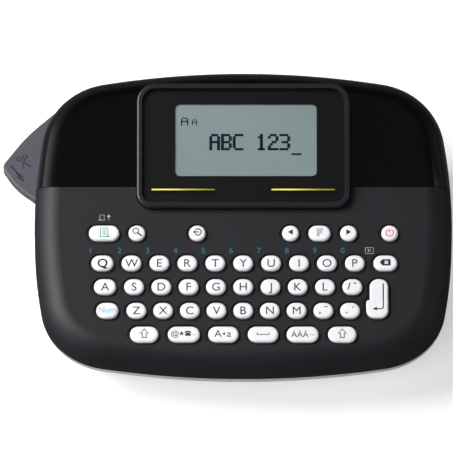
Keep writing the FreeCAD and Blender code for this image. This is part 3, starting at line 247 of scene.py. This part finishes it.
# %% [markdown]
# ### The case
# The keyboard's deck is charcoal ABS from a spark-eroded tool, which leaves a fine matt grain of 0.25 mm. The
# rear cover is the same plastic from a polished tool, so it is almost black and mirrors the studio. The
# display's frame is satin. The lower case is sprayed silver: a pale paint, partly metallic.

# %% Case finishes
charcoal = make_finish("charcoal_abs_spark_eroded", ("#1d1c21", "#17161a"), 30, (0.5, 0.06), (0.25, 0.012),
                       Specular_IOR_Level=0.4)
polished = make_finish("black_abs_polished", ("#0b0a0d", "#08080a"), 25, (0.07, 0.01), (6.0, 0.002),
                       Coat_Weight=0.3, Coat_Roughness=0.03)
satin = make_finish("dark_abs_satin", ("#262429", "#201e23"), 20, (0.24, 0.03), (0.3, 0.002))
silver = make_finish("silver_paint_on_abs", ("#cbc5c1", "#bbb5b1"), 12, (0.38, 0.05), (0.18, 0.004),
                     Metallic=0.35)
dress(charcoal, "top_case")
dress(polished, "gloss_cover")
dress(satin, "display_bezel")
dress(silver, "bottom_case", "back_cover")

# %% [markdown]
# ### Keys
# The keys are silicone rubber, white all through, with a silky skin that lets a little light in at its edges.
# The mat under them is the same rubber in black. The lever is a harder grey plastic, lightly textured.

# %% Rubber and lever
def paint_crevice_shade(material, reach, code):
    """Paints shade into a finish's colour where it faces a near wall, as a painted shadow. reach: how near,
    in millimetres.
    """
    tree = material.node_tree
    shader = tree.nodes["Principled BSDF"]
    plain = shader.inputs["Base Color"].links[0].from_socket
    # Where little open space is found within reach, the colour is mixed towards the painted shade colour.
    room = add_node(tree, "AmbientOcclusion", {"Distance": reach * MM}, samples=8).outputs["AO"]
    exposed = add_node(tree, "MapRange", {"Value": room, "From Min": 0.35, "From Max": 0.85})
    exposed = exposed.outputs["Result"]
    shaded = add_node(tree, "Mix", {0: exposed, 6: srgb(code), 7: plain}, data_type="RGBA").outputs[2]
    tree.links.new(shaded, shader.inputs["Base Color"])


white_rubber = make_finish("white_silicone_rubber", ("#f0eef0", "#e6e4e7"), 6, (0.42, 0.04), (0.3, 0.003),
                           Subsurface_Weight=0.12, Subsurface_Scale=0.4 * MM)
black_rubber = make_finish("black_silicone_rubber", ("#1c1b1e", "#151417"), 8, (0.6, 0.05), (0.3, 0.006))
lever_grey = make_finish("grey_abs_textured", ("#57555d", "#4d4b53"), 14, (0.45, 0.06), (0.3, 0.01))
keys = [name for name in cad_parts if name.startswith("key_") or name.endswith("_keys")]
# The key flanks next to the deck get painted shade: their white turns grey where a wall is near.
paint_crevice_shade(white_rubber, 1.6, "#57555b")
dress(white_rubber, *keys)
dress(black_rubber, "keypad_mat")
dress(lever_grey, "cutter_lever")

# %% [markdown]
# ### Machinery
# Inside are a ground steel blade, a plated motor, acetal gears, a rubber roller, a ceramic print head, a tape
# cassette and four cells. They show when the back cover is off or the lever swings out. A ground or turned
# metal has fine parallel lines, so its noise is stretched along one axis by a Mapping node.

# %% Metals and machine parts
def stretch_grain(material, factors):
    """Turns the grain of a finish into parallel lines by squeezing its coordinates along each axis."""
    tree = material.node_tree
    where = next(node for node in tree.nodes if node.type == "TEX_COORD").outputs["Object"]
    lines = add_node(tree, "Mapping", {"Vector": where, "Scale": factors}).outputs["Vector"]
    for noise in [node for node in tree.nodes if node.type == "TEX_NOISE"]:
        tree.links.new(lines, noise.inputs["Vector"])
    return material


steel = make_finish("ground_blade_steel", ("#b9bbc0", "#9c9ea4"), 1.5, (0.28, 0.08), (0.25, 0.003),
                    Metallic=1.0)
dress(stretch_grain(steel, (1, 1, 0.05)), "cutter_blade")
plated = make_finish("nickel_plated_steel", ("#c3c0b8", "#a9a69e"), 5, (0.22, 0.06), (0.4, 0.002),
                     Metallic=1.0)
dress(plated, "battery_contacts", "drive_motor", "case_screws")
acetal = make_finish("natural_acetal", ("#ece8dd", "#ddd8ca"), 4, (0.38, 0.04), (0.3, 0.002),
                     Subsurface_Weight=0.1, Subsurface_Scale=0.5 * MM)
dress(acetal, "idler_gear", "motor_pinion")
roller_rubber = make_finish("ground_nitrile_rubber", ("#1b1b1c", "#242425"), 2, (0.7, 0.06), (0.2, 0.01))
dress(roller_rubber, "platen_roller")
ceramic = make_finish("glazed_alumina", ("#d8d4c8", "#c4bfb2"), 3, (0.16, 0.04), (0.5, 0.002))
dress(ceramic, "print_head")
cassette_grey = make_finish("smoky_polystyrene", ("#8d8f92", "#7a7c80"), 9, (0.3, 0.04), (0.25, 0.004))
dress(cassette_grey, "tape_cassette")

# %% [markdown]
# ### Cells
# Each cell wears a printed sleeve that stops short of its steel ends. The sleeve and the steel are one part,
# so the finish tells them apart by the way that the surface faces: the ends look along the case's depth.

# %% Cell sleeve
sleeve = make_finish("printed_pvc_sleeve", ("#2b5f8a", "#24527a"), 8, (0.22, 0.03), (0.4, 0.001))
tree = sleeve.node_tree
shader = tree.nodes["Principled BSDF"]
facing = add_node(tree, "SeparateXYZ", {0: add_node(tree, "NewGeometry").outputs["Normal"]}).outputs["Y"]
lengthways = add_node(tree, "Math", {0: facing}, operation="ABSOLUTE").outputs[0]
end = add_node(tree, "Math", {0: lengthways, 1: 0.6}, operation="GREATER_THAN").outputs[0]
printed = shader.inputs["Base Color"].links[0].from_socket
coat = add_node(tree, "Mix", {0: end, 6: printed, 7: srgb("#b8b7b2")}, data_type="RGBA").outputs[2]
tree.links.new(coat, shader.inputs["Base Color"])
tree.links.new(end, shader.inputs["Metallic"])
dress(sleeve, "battery_cells")

# %% [markdown]
# ### Circuit board
# A board is glass cloth under green lacquer. Copper tracks show through it as paler lines with right-angled
# turns, which a Brick texture gives: its mortar is the track.

# %% Solder mask
board = make_finish("green_solder_mask", ("#17502f", "#124427"), 10, (0.3, 0.04), (0.4, 0.002))
tree = board.node_tree
shader = tree.nodes["Principled BSDF"]
lacquer = shader.inputs["Base Color"].links[0].from_socket
where = next(node for node in tree.nodes if node.type == "TEX_COORD").outputs["Object"]
tracks = add_node(tree, "TexBrick", {"Vector": where, "Scale": 1.0, "Mortar Size": 0.25 * MM,
                                     "Mortar Smooth": 0.0, "Brick Width": 9 * MM, "Row Height": 2.4 * MM})
copper = add_node(tree, "Mix", {0: tracks.outputs["Fac"], 6: lacquer, 7: srgb("#2f7d48")}, data_type="RGBA")
tree.links.new(copper.outputs[2], shader.inputs["Base Color"])
dress(board, "main_board")

# %% [markdown]
# ## Display
# The display is a liquid crystal cell under an acrylic lens. The lens is clear, and a black border lies in it
# just above its back. The border could be painted by the lens's material, but a sheet with a rounded hole in
# it is what the real one is, and its edge stays sharp. The cell's grey-green back shows through the hole,
# with a faint grid where the dots lie.

# %% Lens and liquid crystal cell
lens = make_finish("clear_acrylic_lens", ("#050506", "#070708"), 30, (0.05, 0.01), (8.0, 0.001),
                   Alpha=0.16, IOR=1.49)
dress(lens, "display_window")
lcd = make_finish("lcd_reflector", ("#b3c6c5", "#9fb4b5"), 14, (0.35, 0.03), (0.35, 0.004))
tree = lcd.node_tree
shader = tree.nodes["Principled BSDF"]
film = shader.inputs["Base Color"].links[0].from_socket
where = next(node for node in tree.nodes if node.type == "TEX_COORD").outputs["Object"]
DOT_WIDE, DOT_TALL = 0.66, 0.84
dots = add_node(tree, "TexBrick", {"Vector": where, "Scale": 1.0, "Mortar Size": 0.05 * MM,
                                   "Brick Width": DOT_WIDE * MM, "Row Height": DOT_TALL * MM}, offset=0.0)
faint = add_node(tree, "Mix", {0: dots.outputs["Fac"], 6: film, 7: srgb("#a9bdbc")}, data_type="RGBA")
tree.links.new(faint.outputs[2], shader.inputs["Base Color"])
dress(lcd, "lcd_module")

# %% Tools that finish a new piece
INK = 0.03   # thickness of a print
SUNK = 0.01  # how far the middle of a print is held down


def only(piece):
    """Makes one object the selected and active one."""
    deselect()
    piece.select_set(True)
    bpy.context.view_layer.objects.active = piece


def close_up(piece):
    """Merges a mesh's doubled points and turns its faces outwards."""
    only(piece)
    bpy.ops.object.mode_set(mode="EDIT")
    bpy.ops.mesh.select_all(action="SELECT")
    bpy.ops.mesh.remove_doubles(threshold=0.0005)
    bpy.ops.mesh.normals_make_consistent(inside=False)
    bpy.ops.object.mode_set(mode="OBJECT")


def put(piece, name, surface, place, material, body="case"):
    """Names a drawing, stands it on a sloping surface, colours it and fixes it to a body."""
    close_up(piece)
    piece.name = name
    piece.matrix_world = surface @ Matrix.Translation(place)
    bpy.ops.object.transform_apply(location=True, rotation=True, scale=True)
    piece.data.materials.clear()
    piece.data.materials.append(material)
    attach(piece, body)
    return piece


print(f"a print is {INK} mm thick")

# %% The black border behind the lens
BORDER_ROUND, BORDER_THICK, BORDER_LIFT, BORDER_GAP = 5, 0.05, 0.02, 0.1
lens_low, lens_high = span("display_window", hood)
glass_low, glass_high = span("lcd_module", hood)
VIEW_WIDE, VIEW_LONG, VIEW_ROUND, VIEW_SHIFT = 48.0, 25.6, 1.7, 0.9
view_middle = Vector((VIEW_SHIFT, (glass_low.y + glass_high.y) / 2, 0))
lens_middle = (lens_low.y + lens_high.y) / 2
border_ink = make_finish("black_screen_ink", ("#09090b", "#0c0c0e"), 20, (0.35, 0.03), (0.5, 0.001))
deselect()
bpy.ops.mesh.primitive_plane_add(size=1)
border = bpy.context.object
border.scale = (lens_high.x - lens_low.x - BORDER_GAP, lens_high.y - lens_low.y - BORDER_GAP, 1)
bpy.ops.object.transform_apply(location=False, rotation=False, scale=True)
bpy.ops.object.mode_set(mode="EDIT")
bpy.ops.mesh.bevel(offset=BORDER_ROUND, segments=8, affect="VERTICES")
bpy.ops.mesh.extrude_region_move(TRANSFORM_OT_translate={"value": (0, 0, BORDER_THICK)})
bpy.ops.object.mode_set(mode="OBJECT")
bpy.ops.mesh.primitive_plane_add(size=1, location=(VIEW_SHIFT, view_middle.y - lens_middle, 0))
punch = bpy.context.object
punch.scale = (VIEW_WIDE, VIEW_LONG, 1)
bpy.ops.object.transform_apply(location=True, rotation=False, scale=True)
bpy.ops.object.mode_set(mode="EDIT")
bpy.ops.mesh.bevel(offset=VIEW_ROUND, segments=6, affect="VERTICES")
bpy.ops.transform.translate(value=(0, 0, -1))
bpy.ops.mesh.extrude_region_move(TRANSFORM_OT_translate={"value": (0, 0, 2)})
bpy.ops.mesh.select_all(action="SELECT")
bpy.ops.mesh.normals_make_consistent(inside=False)
bpy.ops.object.mode_set(mode="OBJECT")
close_up(border)
hole = border.modifiers.new("hole", "BOOLEAN")
hole.operation, hole.object, hole.solver = "DIFFERENCE", punch, "EXACT"
bpy.ops.object.modifier_apply(modifier="hole")
bpy.data.objects.remove(punch)
put(border, "window_border", hood, (0, lens_middle, lens_low.z + BORDER_LIFT), border_ink)
print("border faces", len(border.data.polygons))

# %% [markdown]
# ### What the display shows
# A dot-matrix display makes its characters from small blocks. Each character below is drawn as seven rows of
# five dots, as its maker would. The dots are planes added in edit mode and extruded together, which keeps
# them one light mesh. The text is plain letters and digits.

# %% Dot-matrix characters
BLOCK = 0.98  # how much of its place a dot fills
GLYPHS = {
    "A": ".###. #...# #...# ##### #...# #...# #...#",
    "B": "####. #...# #...# ####. #...# #...# ####.",
    "C": ".#### #.... #.... #.... #.... #.... .####",
    "1": "..#.. .##.. ..#.. ..#.. ..#.. ..#.. .###.",
    "2": ".###. #...# ....# ..##. .#... #.... #####",
    "3": "####. ....# ....# .###. ....# ....# ####.",
    " ": "..... ..... ..... ..... ..... ..... .....",
    "_": "..... ..... ..... ..... ..... ..... .....",
}
dot_ink = make_finish("lit_liquid_crystal", ("#16263c", "#122034"), 5, (0.3, 0.02), (0.4, 0.001))


def show_dots(name, text, left, top, wide, tall, heavy=1.0):
    """Draws characters from dots of that width and height, from a left and top edge on the display.
    Heavy dots are that many times as wide as the space they have, towards the right."""
    deselect()
    bpy.ops.mesh.primitive_plane_add(size=1)
    piece = bpy.context.object
    bpy.ops.object.mode_set(mode="EDIT")
    bpy.ops.mesh.delete(type="VERT")
    for index, letter in enumerate(text):
        for row, line in enumerate(GLYPHS[letter].split()):
            for column, dot in enumerate(line):
                if dot == "#":
                    spot = (left + (6 * index + column + heavy / 2) * wide, top - (row + 0.5) * tall, 0)
                    sides = (BLOCK * heavy * wide, BLOCK * tall, 1)
                    bpy.ops.mesh.primitive_plane_add(size=1, location=spot)
                    bpy.ops.transform.resize(value=sides, center_override=spot)
        if letter == "_":
            spot = (left + (6 * index + 2.7) * wide, top - 8.6 * tall, 0)
            bpy.ops.mesh.primitive_plane_add(size=1, location=spot)
            bpy.ops.transform.resize(value=(5.2 * wide, 0.8 * tall, 1), center_override=spot)
    bpy.ops.mesh.select_all(action="SELECT")
    bpy.ops.mesh.extrude_region_move(TRANSFORM_OT_translate={"value": (0, 0, INK)})
    bpy.ops.object.mode_set(mode="OBJECT")
    put(piece, name, hood, (view_middle.x, view_middle.y, glass_high.z - 0.005), dot_ink)
    print(name, len(piece.data.polygons), "faces")


show_dots("lcd_text", "ABC 123_", -12.4, 2.4, DOT_WIDE, DOT_TALL, heavy=1.6)
show_dots("lcd_large_sign", "A", -22.0, 8.3, 0.5, 0.42)
show_dots("lcd_small_sign", "A", -18.3, 7.6, 0.36, 0.3)

# %% [markdown]
# ## Printing
# Legends are screen printed: a film of ink with crisp edges. A picture on the surface would blur up close, so
# each legend is a thin solid. Text comes from a text object, and signs from curves, either open strokes
# pressed flat or filled outlines. Each is made a mesh first and then put in its place.

# %% Inks
def make_ink(name, *shades):
    """A film of ink: nearly even, half matt and almost smooth."""
    return make_finish(name, shades, 4, (0.5, 0.03), (0.3, 0.001))


dark_ink = make_ink("dark_grey_ink", "#221e22", "#1c191d")
blue_ink = make_ink("blue_ink", "#28708f", "#236583")
sky_ink = make_ink("sky_blue_ink", "#63c3ea", "#57b8e0")
green_ink = make_ink("green_ink", "#3fae6b", "#37a262")
pink_ink = make_ink("pink_red_ink", "#d9547f", "#cf4a75")
grey_ink = make_ink("light_grey_ink", "#b9b9bd", "#acacb0")
yellow_ink = make_finish("yellow_ink", ("#ded443", "#d4ca3a"), 6, (0.4, 0.03), (0.3, 0.001))
print("finishes in all:", len(bpy.data.materials))


# %% Text as a thin solid
def flatten(piece, width):
    """Presses round strokes of that width down to the thickness of the ink."""
    only(piece)
    piece.scale.z = INK / width
    bpy.ops.object.transform_apply(location=False, rotation=False, scale=True)


def write(text, size, bold=0.16):
    """Text of that type size in millimetres, as a flat solid mesh whose baseline is at y = 0.
    A stroke of twice the bold value runs along each outline and thickens the letters."""
    deselect()
    bpy.ops.object.text_add()
    letters = bpy.context.object
    letters.data.body = text
    letters.data.size = size
    letters.data.align_x = "CENTER"
    letters.data.resolution_u = 5
    bpy.ops.object.duplicate()
    outline = bpy.context.object
    bpy.ops.object.convert(target="CURVE")
    outline.data.dimensions = "3D"
    outline.data.bevel_depth, outline.data.bevel_resolution = bold, 1
    bpy.ops.object.convert(target="MESH")
    flatten(outline, 2 * bold)
    only(letters)
    letters.data.extrude = INK / 2
    bpy.ops.object.convert(target="MESH")
    outline.select_set(True)
    bpy.ops.object.join()
    return bpy.context.object


sample = write("H", 10)
CAPITAL = sample.dimensions.y / 10
bpy.data.objects.remove(sample)
print(f"a capital is {CAPITAL:.2f} of the type size")


def stamp(name, text, capital, surface, place, material, body="case", bold=0.16):
    """Writes text with capitals of that height, around a place on a surface."""
    letters = write(text, capital / CAPITAL, bold)
    left, right = letters.bound_box[0][0], letters.bound_box[6][0]
    place = Vector(place) + Vector((-(left + right) / 2, -capital / 2, INK / 2 - SUNK))
    return put(letters, name, surface, place, material, body)


# %% Signs from strokes and filled outlines
def draw(strokes=(), fills=(), width=0.3):
    """A flat solid mesh from open or closed strokes and from filled outlines, in millimetres."""
    made = []
    for kind, outlines in (("stroke", strokes), ("fill", fills)):
        if not outlines:
            continue
        curve = bpy.data.curves.new(kind, "CURVE")
        curve.dimensions = "3D" if kind == "stroke" else "2D"
        for points in outlines:
            closed = kind == "fill" or points[0] == points[-1]
            points = points[:-1] if points[0] == points[-1] else points
            spline = curve.splines.new("POLY")
            spline.points.add(len(points) - 1)
            for target, (x, y) in zip(spline.points, points):
                target.co = (x, y, 0, 1)
            spline.use_cyclic_u = closed
        if kind == "stroke":
            curve.bevel_depth, curve.bevel_resolution, curve.use_fill_caps = width / 2, 2, True
        else:
            curve.fill_mode, curve.extrude = "BOTH", INK / 2
        item = bpy.data.objects.new(kind, curve)
        bpy.context.scene.collection.objects.link(item)
        only(item)
        bpy.ops.object.convert(target="MESH")
        if kind == "stroke":
            flatten(item, width)
        made.append(item)
    only(made[0])
    for item in made:
        item.select_set(True)
    if len(made) > 1:
        bpy.ops.object.join()
    return bpy.context.object


def ring(x, y, radius, start=0, end=360, steps=28):
    """Points along an arc, by its bearings in degrees."""
    turns = [radians(start + (end - start) * i / steps) for i in range(steps + 1)]
    points = [(x + radius * cos(t), y + radius * sin(t)) for t in turns]
    return points[:-1] + points[:1] if abs(end - start) == 360 else points


def sign(name, surface, place, material, body="case", **drawing):
    """Draws a sign at a place on a surface."""
    place = Vector(place) + Vector((0, 0, INK / 2 - SUNK))
    return put(draw(**drawing), name, surface, place, material, body)


print("points in a full ring:", len(ring(0, 0, 1)))

# %% [markdown]
# ### Letter keys
# Every letter key is its own part that moves by itself, so each letter rides on its key's body.

# %% Letters
LETTER = 2.85
LETTER_DROP = 0.25


def key_middle(node):
    """The middle of a key's top."""
    low, high = span(node, deck)
    return Vector(((low.x + high.x) / 2, (low.y + high.y) / 2, KEY_TOP))


for name in keys:
    letter = name.removeprefix("key_")
    if len(letter) == 1:
        place = key_middle(name) - Vector((0, LETTER_DROP, 0))
        stamp(f"legend_{letter}", letter.upper(), LETTER, deck, place, dark_ink, f"{name}_moving")
stamp("legend_num", "Num", 2.1, deck, key_middle("key_num"), sky_ink, "key_num_moving", bold=0.05)

# %% Digits above the top letters
digit_shift = Vector((-4.1, 5.0, -KEY_TOP))
for letter, digit in zip("qwertyuiop", "1234567890"):
    stamp(f"digit_{digit}", digit, 2.0, deck, key_middle(f"key_{letter}") + digit_shift, blue_ink, bold=0.03)

# %% [markdown]
# ### Punctuation
# These keys carry two marks each, one low on the left and one high on the right, drawn as strokes. The three
# keys move together, so their places come from the neighbouring letters and the pitch of their rows.

# %% Comma, full stop and slash keys
low_pitch = key_middle("key_m").x - key_middle("key_n").x
home_pitch = key_middle("key_l").x - key_middle("key_k").x
comma = key_middle("key_m") + Vector((low_pitch, 0, 0))
stop = key_middle("key_m") + Vector((2 * low_pitch, 0, 0))
slash = key_middle("key_l") + Vector((home_pitch, 0, 0))
dot = ring(-1.15, -1.05, 0.09, steps=10)
sign("legend_comma", deck, comma, dark_ink, "punctuation_keys_moving", width=0.36,
     strokes=[dot, [(-1.1, -1.15), (-1.3, -1.6)], [(0.3, 1.15), (1.5, 1.15)]])
sign("legend_stop", deck, stop, dark_ink, "punctuation_keys_moving", width=0.36,
     strokes=[dot, [(1.0, 1.3), (1.0, 0.75)]])
sign("legend_slash", deck, slash, dark_ink, "punctuation_keys_moving", width=0.36,
     strokes=[[(-1.5, -1.25), (-0.75, 1.25)], [(0.6, 1.35), (0.6, 0.8)], [(1.15, 1.35), (1.15, 0.8)]])

# %% [markdown]
# ### Bottom row
# Shift is an open arrow, the space key shows its bracket, and the two picker keys show samples of what they
# offer. Keys that move as a pair share a body, so a pair's two places are the ends of its span.

# %% Shift, space and picker keys
FLANGE = 0.7


def pair(node, width):
    """Middles of the left and right key of a pair of that key width."""
    low, high = span(node, deck)
    inset = width / 2 + FLANGE
    along = (low.y + high.y) / 2
    return Vector((low.x + inset, along, KEY_TOP)), Vector((high.x - inset, along, KEY_TOP))


ARROW = [(0, 1.65), (1.4, 0.15), (0.66, 0.15), (0.66, -1.5), (-0.66, -1.5), (-0.66, 0.15), (-1.4, 0.15),
         (0, 1.65)]
for side, place in zip(("left", "right"), pair("shift_keys", 9.6)):
    sign(f"legend_shift_{side}", deck, place, dark_ink, "shift_keys_moving", width=0.42, strokes=[ARROW])
sign("legend_space", deck, key_middle("key_space"), dark_ink, "key_space_moving", width=0.36,
     strokes=[[(-1.95, 0.35), (-1.95, -0.35), (1.95, -0.35), (1.95, 0.35)]])
capitals = key_middle("key_capitals")
stamp("legend_capitals", "A", 2.5, deck, capitals + Vector((-1.85, 0, 0)), dark_ink, "key_capitals_moving")
stamp("legend_smalls", "a", 2.5, deck, capitals + Vector((1.9, 0, 0)), dark_ink, "key_capitals_moving")
sign("legend_capitals_mark", deck, capitals, dark_ink, "key_capitals_moving",
     fills=[[(-0.5, -0.1), (0.5, 0.45), (0.5, -0.65)]])

symbols, accents = pair("picker_keys", 10.8)
DOTS = [ring(x, -0.45, 0.05, steps=8) for x in (2.7, 3.3, 3.9)]
stamp("legend_at", "@", 1.95, deck, symbols + Vector((-3.0, 0, 0)), dark_ink, "picker_keys_moving", bold=0.08)
STAR = [(radius * sin(i * tau / 10), radius * cos(i * tau / 10)) for i, radius in enumerate((0.95, 0.38) * 5)]
HANDSET = [(-1.15, 0.35), (-1.0, 0.75), (-0.5, 0.95), (0.5, 0.95), (1.0, 0.75), (1.15, 0.35), (0.6, 0.2),
           (0.45, 0.45), (-0.45, 0.45), (-0.6, 0.2)]
STAND = [(-0.45, 0.3), (0.45, 0.3), (0.95, -0.3), (0.95, -0.85), (-0.95, -0.85), (-0.95, -0.3)]
STAR = [(x - 0.75, y) for x, y in STAR]
HANDSET, STAND = ([(x + 1.35, y) for x, y in shape] for shape in (HANDSET, STAND))
sign("legend_symbols", deck, symbols, dark_ink, "picker_keys_moving", width=0.22, strokes=DOTS,
     fills=[STAR, HANDSET, STAND])
stamp("legend_accents", "ÁÄÂ", 2.0, deck, accents + Vector((-0.95, -0.3, 0)), dark_ink, "picker_keys_moving",
      bold=0.07)
sign("legend_accents_more", deck, accents, dark_ink, "picker_keys_moving", width=0.22, strokes=DOTS)

# %% [markdown]
# ### Function row
# Print is green, power is pink, and the rest are dark: preview is a magnifier, escape an arrow that leaves a
# ring, and the cursor keys are triangles. The font key has a hatched letter.

# %% Print, preview, escape, cursor, font and power
PAGE = [(-1.25, -1.5), (-1.25, 1.65), (1.25, 1.65), (1.25, -1.5)]
sign("legend_print", deck, key_middle("key_print"), green_ink, "key_print_moving", width=0.32,
     strokes=[PAGE, [(-1.85, -1.55), (1.85, -1.55)]] + [[(-0.65, y), (0.65, y)] for y in (0.9, 0.15, -0.6)])
sign("legend_preview", deck, key_middle("key_preview"), dark_ink, "key_preview_moving", width=0.32,
     strokes=[ring(-0.45, 0.6, 0.95)], fills=[[(0.2, 0.2), (1.75, -1.05), (1.4, -1.5), (-0.1, -0.15)]])
sign("legend_escape", deck, key_middle("key_escape"), dark_ink, "key_escape_moving", width=0.4,
     strokes=[ring(0.15, 0.15, 1.15, -140, 140, 20), [(-1.2, 0.15), (0.5, 0.15)],
              [(-0.75, 0.6), (-1.25, 0.15), (-0.75, -0.3)]])
for side, place, turn in zip(("left", "right"), pair("cursor_keys", 5.7), (1, -1)):
    sign(f"legend_cursor_{side}", deck, place, dark_ink, "cursor_keys_moving",
         fills=[[(-0.85 * turn, 0.15), (0.75 * turn, 1.15), (0.75 * turn, -0.85)]])
FONT = [(-0.85, -1.35), (-0.85, 1.4), (1.0, 1.4), (1.0, 0.75), (-0.1, 0.75), (-0.1, 0.3), (0.8, 0.3),
        (0.8, -0.3), (-0.1, -0.3), (-0.1, -1.35), (-0.85, -1.35)]
HATCH_ENDS = [(-0.2, -1.2), (-0.2, -0.7), (0.6, -0.2), (-0.2, 0.3), (0.9, 0.85)]
HATCH = [[(-0.8, y), (x, y + 0.35)] for x, y in HATCH_ENDS]
sign("legend_font", deck, key_middle("key_font"), dark_ink, "key_font_moving", width=0.16,
     strokes=[FONT, *HATCH])
sign("legend_power", deck, key_middle("key_power"), pink_ink, "key_power_moving", width=0.34,
     strokes=[ring(0, -0.15, 1.25, 115, 425, 26), [(0, 1.35), (0, 0.05)]])

# %% Backspace and enter
TAG = [(-1.9, 0), (-1.0, 1.15), (1.75, 1.15), (1.75, -1.15), (-1.0, -1.15)]
ARM, THICK = 0.72, 0.17


def cross(x, y):
    """Outline of a diagonal cross."""
    quarter = [(2 * THICK, 0), (ARM, 2 * THICK - ARM), (ARM - 2 * THICK, -ARM)]
    outline = []
    for turn in range(4):
        c, s = (1, 0, -1, 0)[turn], (0, -1, 0, 1)[turn]
        outline += [(x + c * px - s * py, y + s * px + c * py) for px, py in quarter]
    return outline


sign("legend_backspace", deck, key_middle("key_backspace"), dark_ink, "key_backspace_moving",
     fills=[TAG, cross(0.3, 0)])
enter_low, enter_high = span("key_enter", deck)
enter = Vector((enter_high.x - FLANGE, (enter_low.y + enter_high.y) / 2, KEY_TOP))
sign("legend_enter", deck, enter, dark_ink, "key_enter_moving", width=0.42,
     strokes=[[(-1.75, 5.4), (-1.75, -3.5), (-2.1, -4.0), (-4.4, -4.0)]],
     fills=[[(-5.4, -4.0), (-3.9, -3.35), (-3.9, -4.65)]])

# %% [markdown]
# ### On the deck and the lens
# Two small signs in grey belong to second functions. A thin yellow line crosses the lens under the display,
# in two stretches.

# %% Deck signs and yellow lines
feed = key_middle("key_print") + Vector((0.1, 6.1, -KEY_TOP))
sign("sign_feed", deck, feed, grey_ink, width=0.22,
     strokes=[[(-1.5, -0.75), (-1.5, 1.0), (-0.1, 1.0), (-0.1, -0.75)], [(-1.95, -0.9), (0.35, -0.9)],
              [(1.45, -0.9), (1.45, 0.3)]],
     fills=[[(1.45, 1.2), (2.1, 0.25), (0.8, 0.25)]])
clear_sign = key_middle("key_backspace") + Vector((-5.4, 5.0, -KEY_TOP))
sign("sign_clear", deck, clear_sign, grey_ink, width=0.2,
     strokes=[[(-1.35, -1.1), (-1.35, 1.1), (1.35, 1.1), (1.35, -1.1), (-1.35, -1.1)],
              [(-0.55, -0.55), (0.55, 0.55)], [(-0.55, 0.55), (0.55, -0.55)]])
LINE_FROM, LINE_TO, LINE_UP = 9.6, 31.0, 6.35
for side, turn in (("left", -1), ("right", 1)):
    sign(f"yellow_line_{side}", hood, (0, LINE_UP, lens_high.z), yellow_ink, width=0.55,
         strokes=[[(turn * LINE_FROM, 0), (turn * LINE_TO, 0)]])

# %% [markdown]
# ### On the lever
# The lever shows what it does: scissors and an arrow towards the user, moulded a hair above its face in the
# same plastic but darker. They ride on the lever.

# %% Lever signs
lever_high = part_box("cutter_lever")[1]
lever_top = Matrix.Translation((0, 0, lever_high.z)) @ Matrix.Scale(MM, 4)
lever_ink = make_finish("dark_grey_relief", ("#333138", "#2c2a31"), 4, (0.5, 0.04), (0.3, 0.002))
scissors = [ring(-1.9, 1.5, 0.75, steps=16), ring(0.2, 2.3, 0.75, steps=16),
            [(-1.4, 1.0), (2.2, -1.6)], [(0.1, 1.6), (-0.6, -2.6)]]
sign("lever_scissors", lever_top, (-74.4, 26.6, 0), lever_ink, "lever", width=0.4, strokes=scissors)
sign("lever_arrow", lever_top, (-76.5, 22.0, 0), lever_ink, "lever", width=0.6,
     strokes=[[(-2.4, 3.4), (0.6, -0.8)]], fills=[[(-0.6, -1.5), (1.3, -0.1), (2.3, -3.4)]])
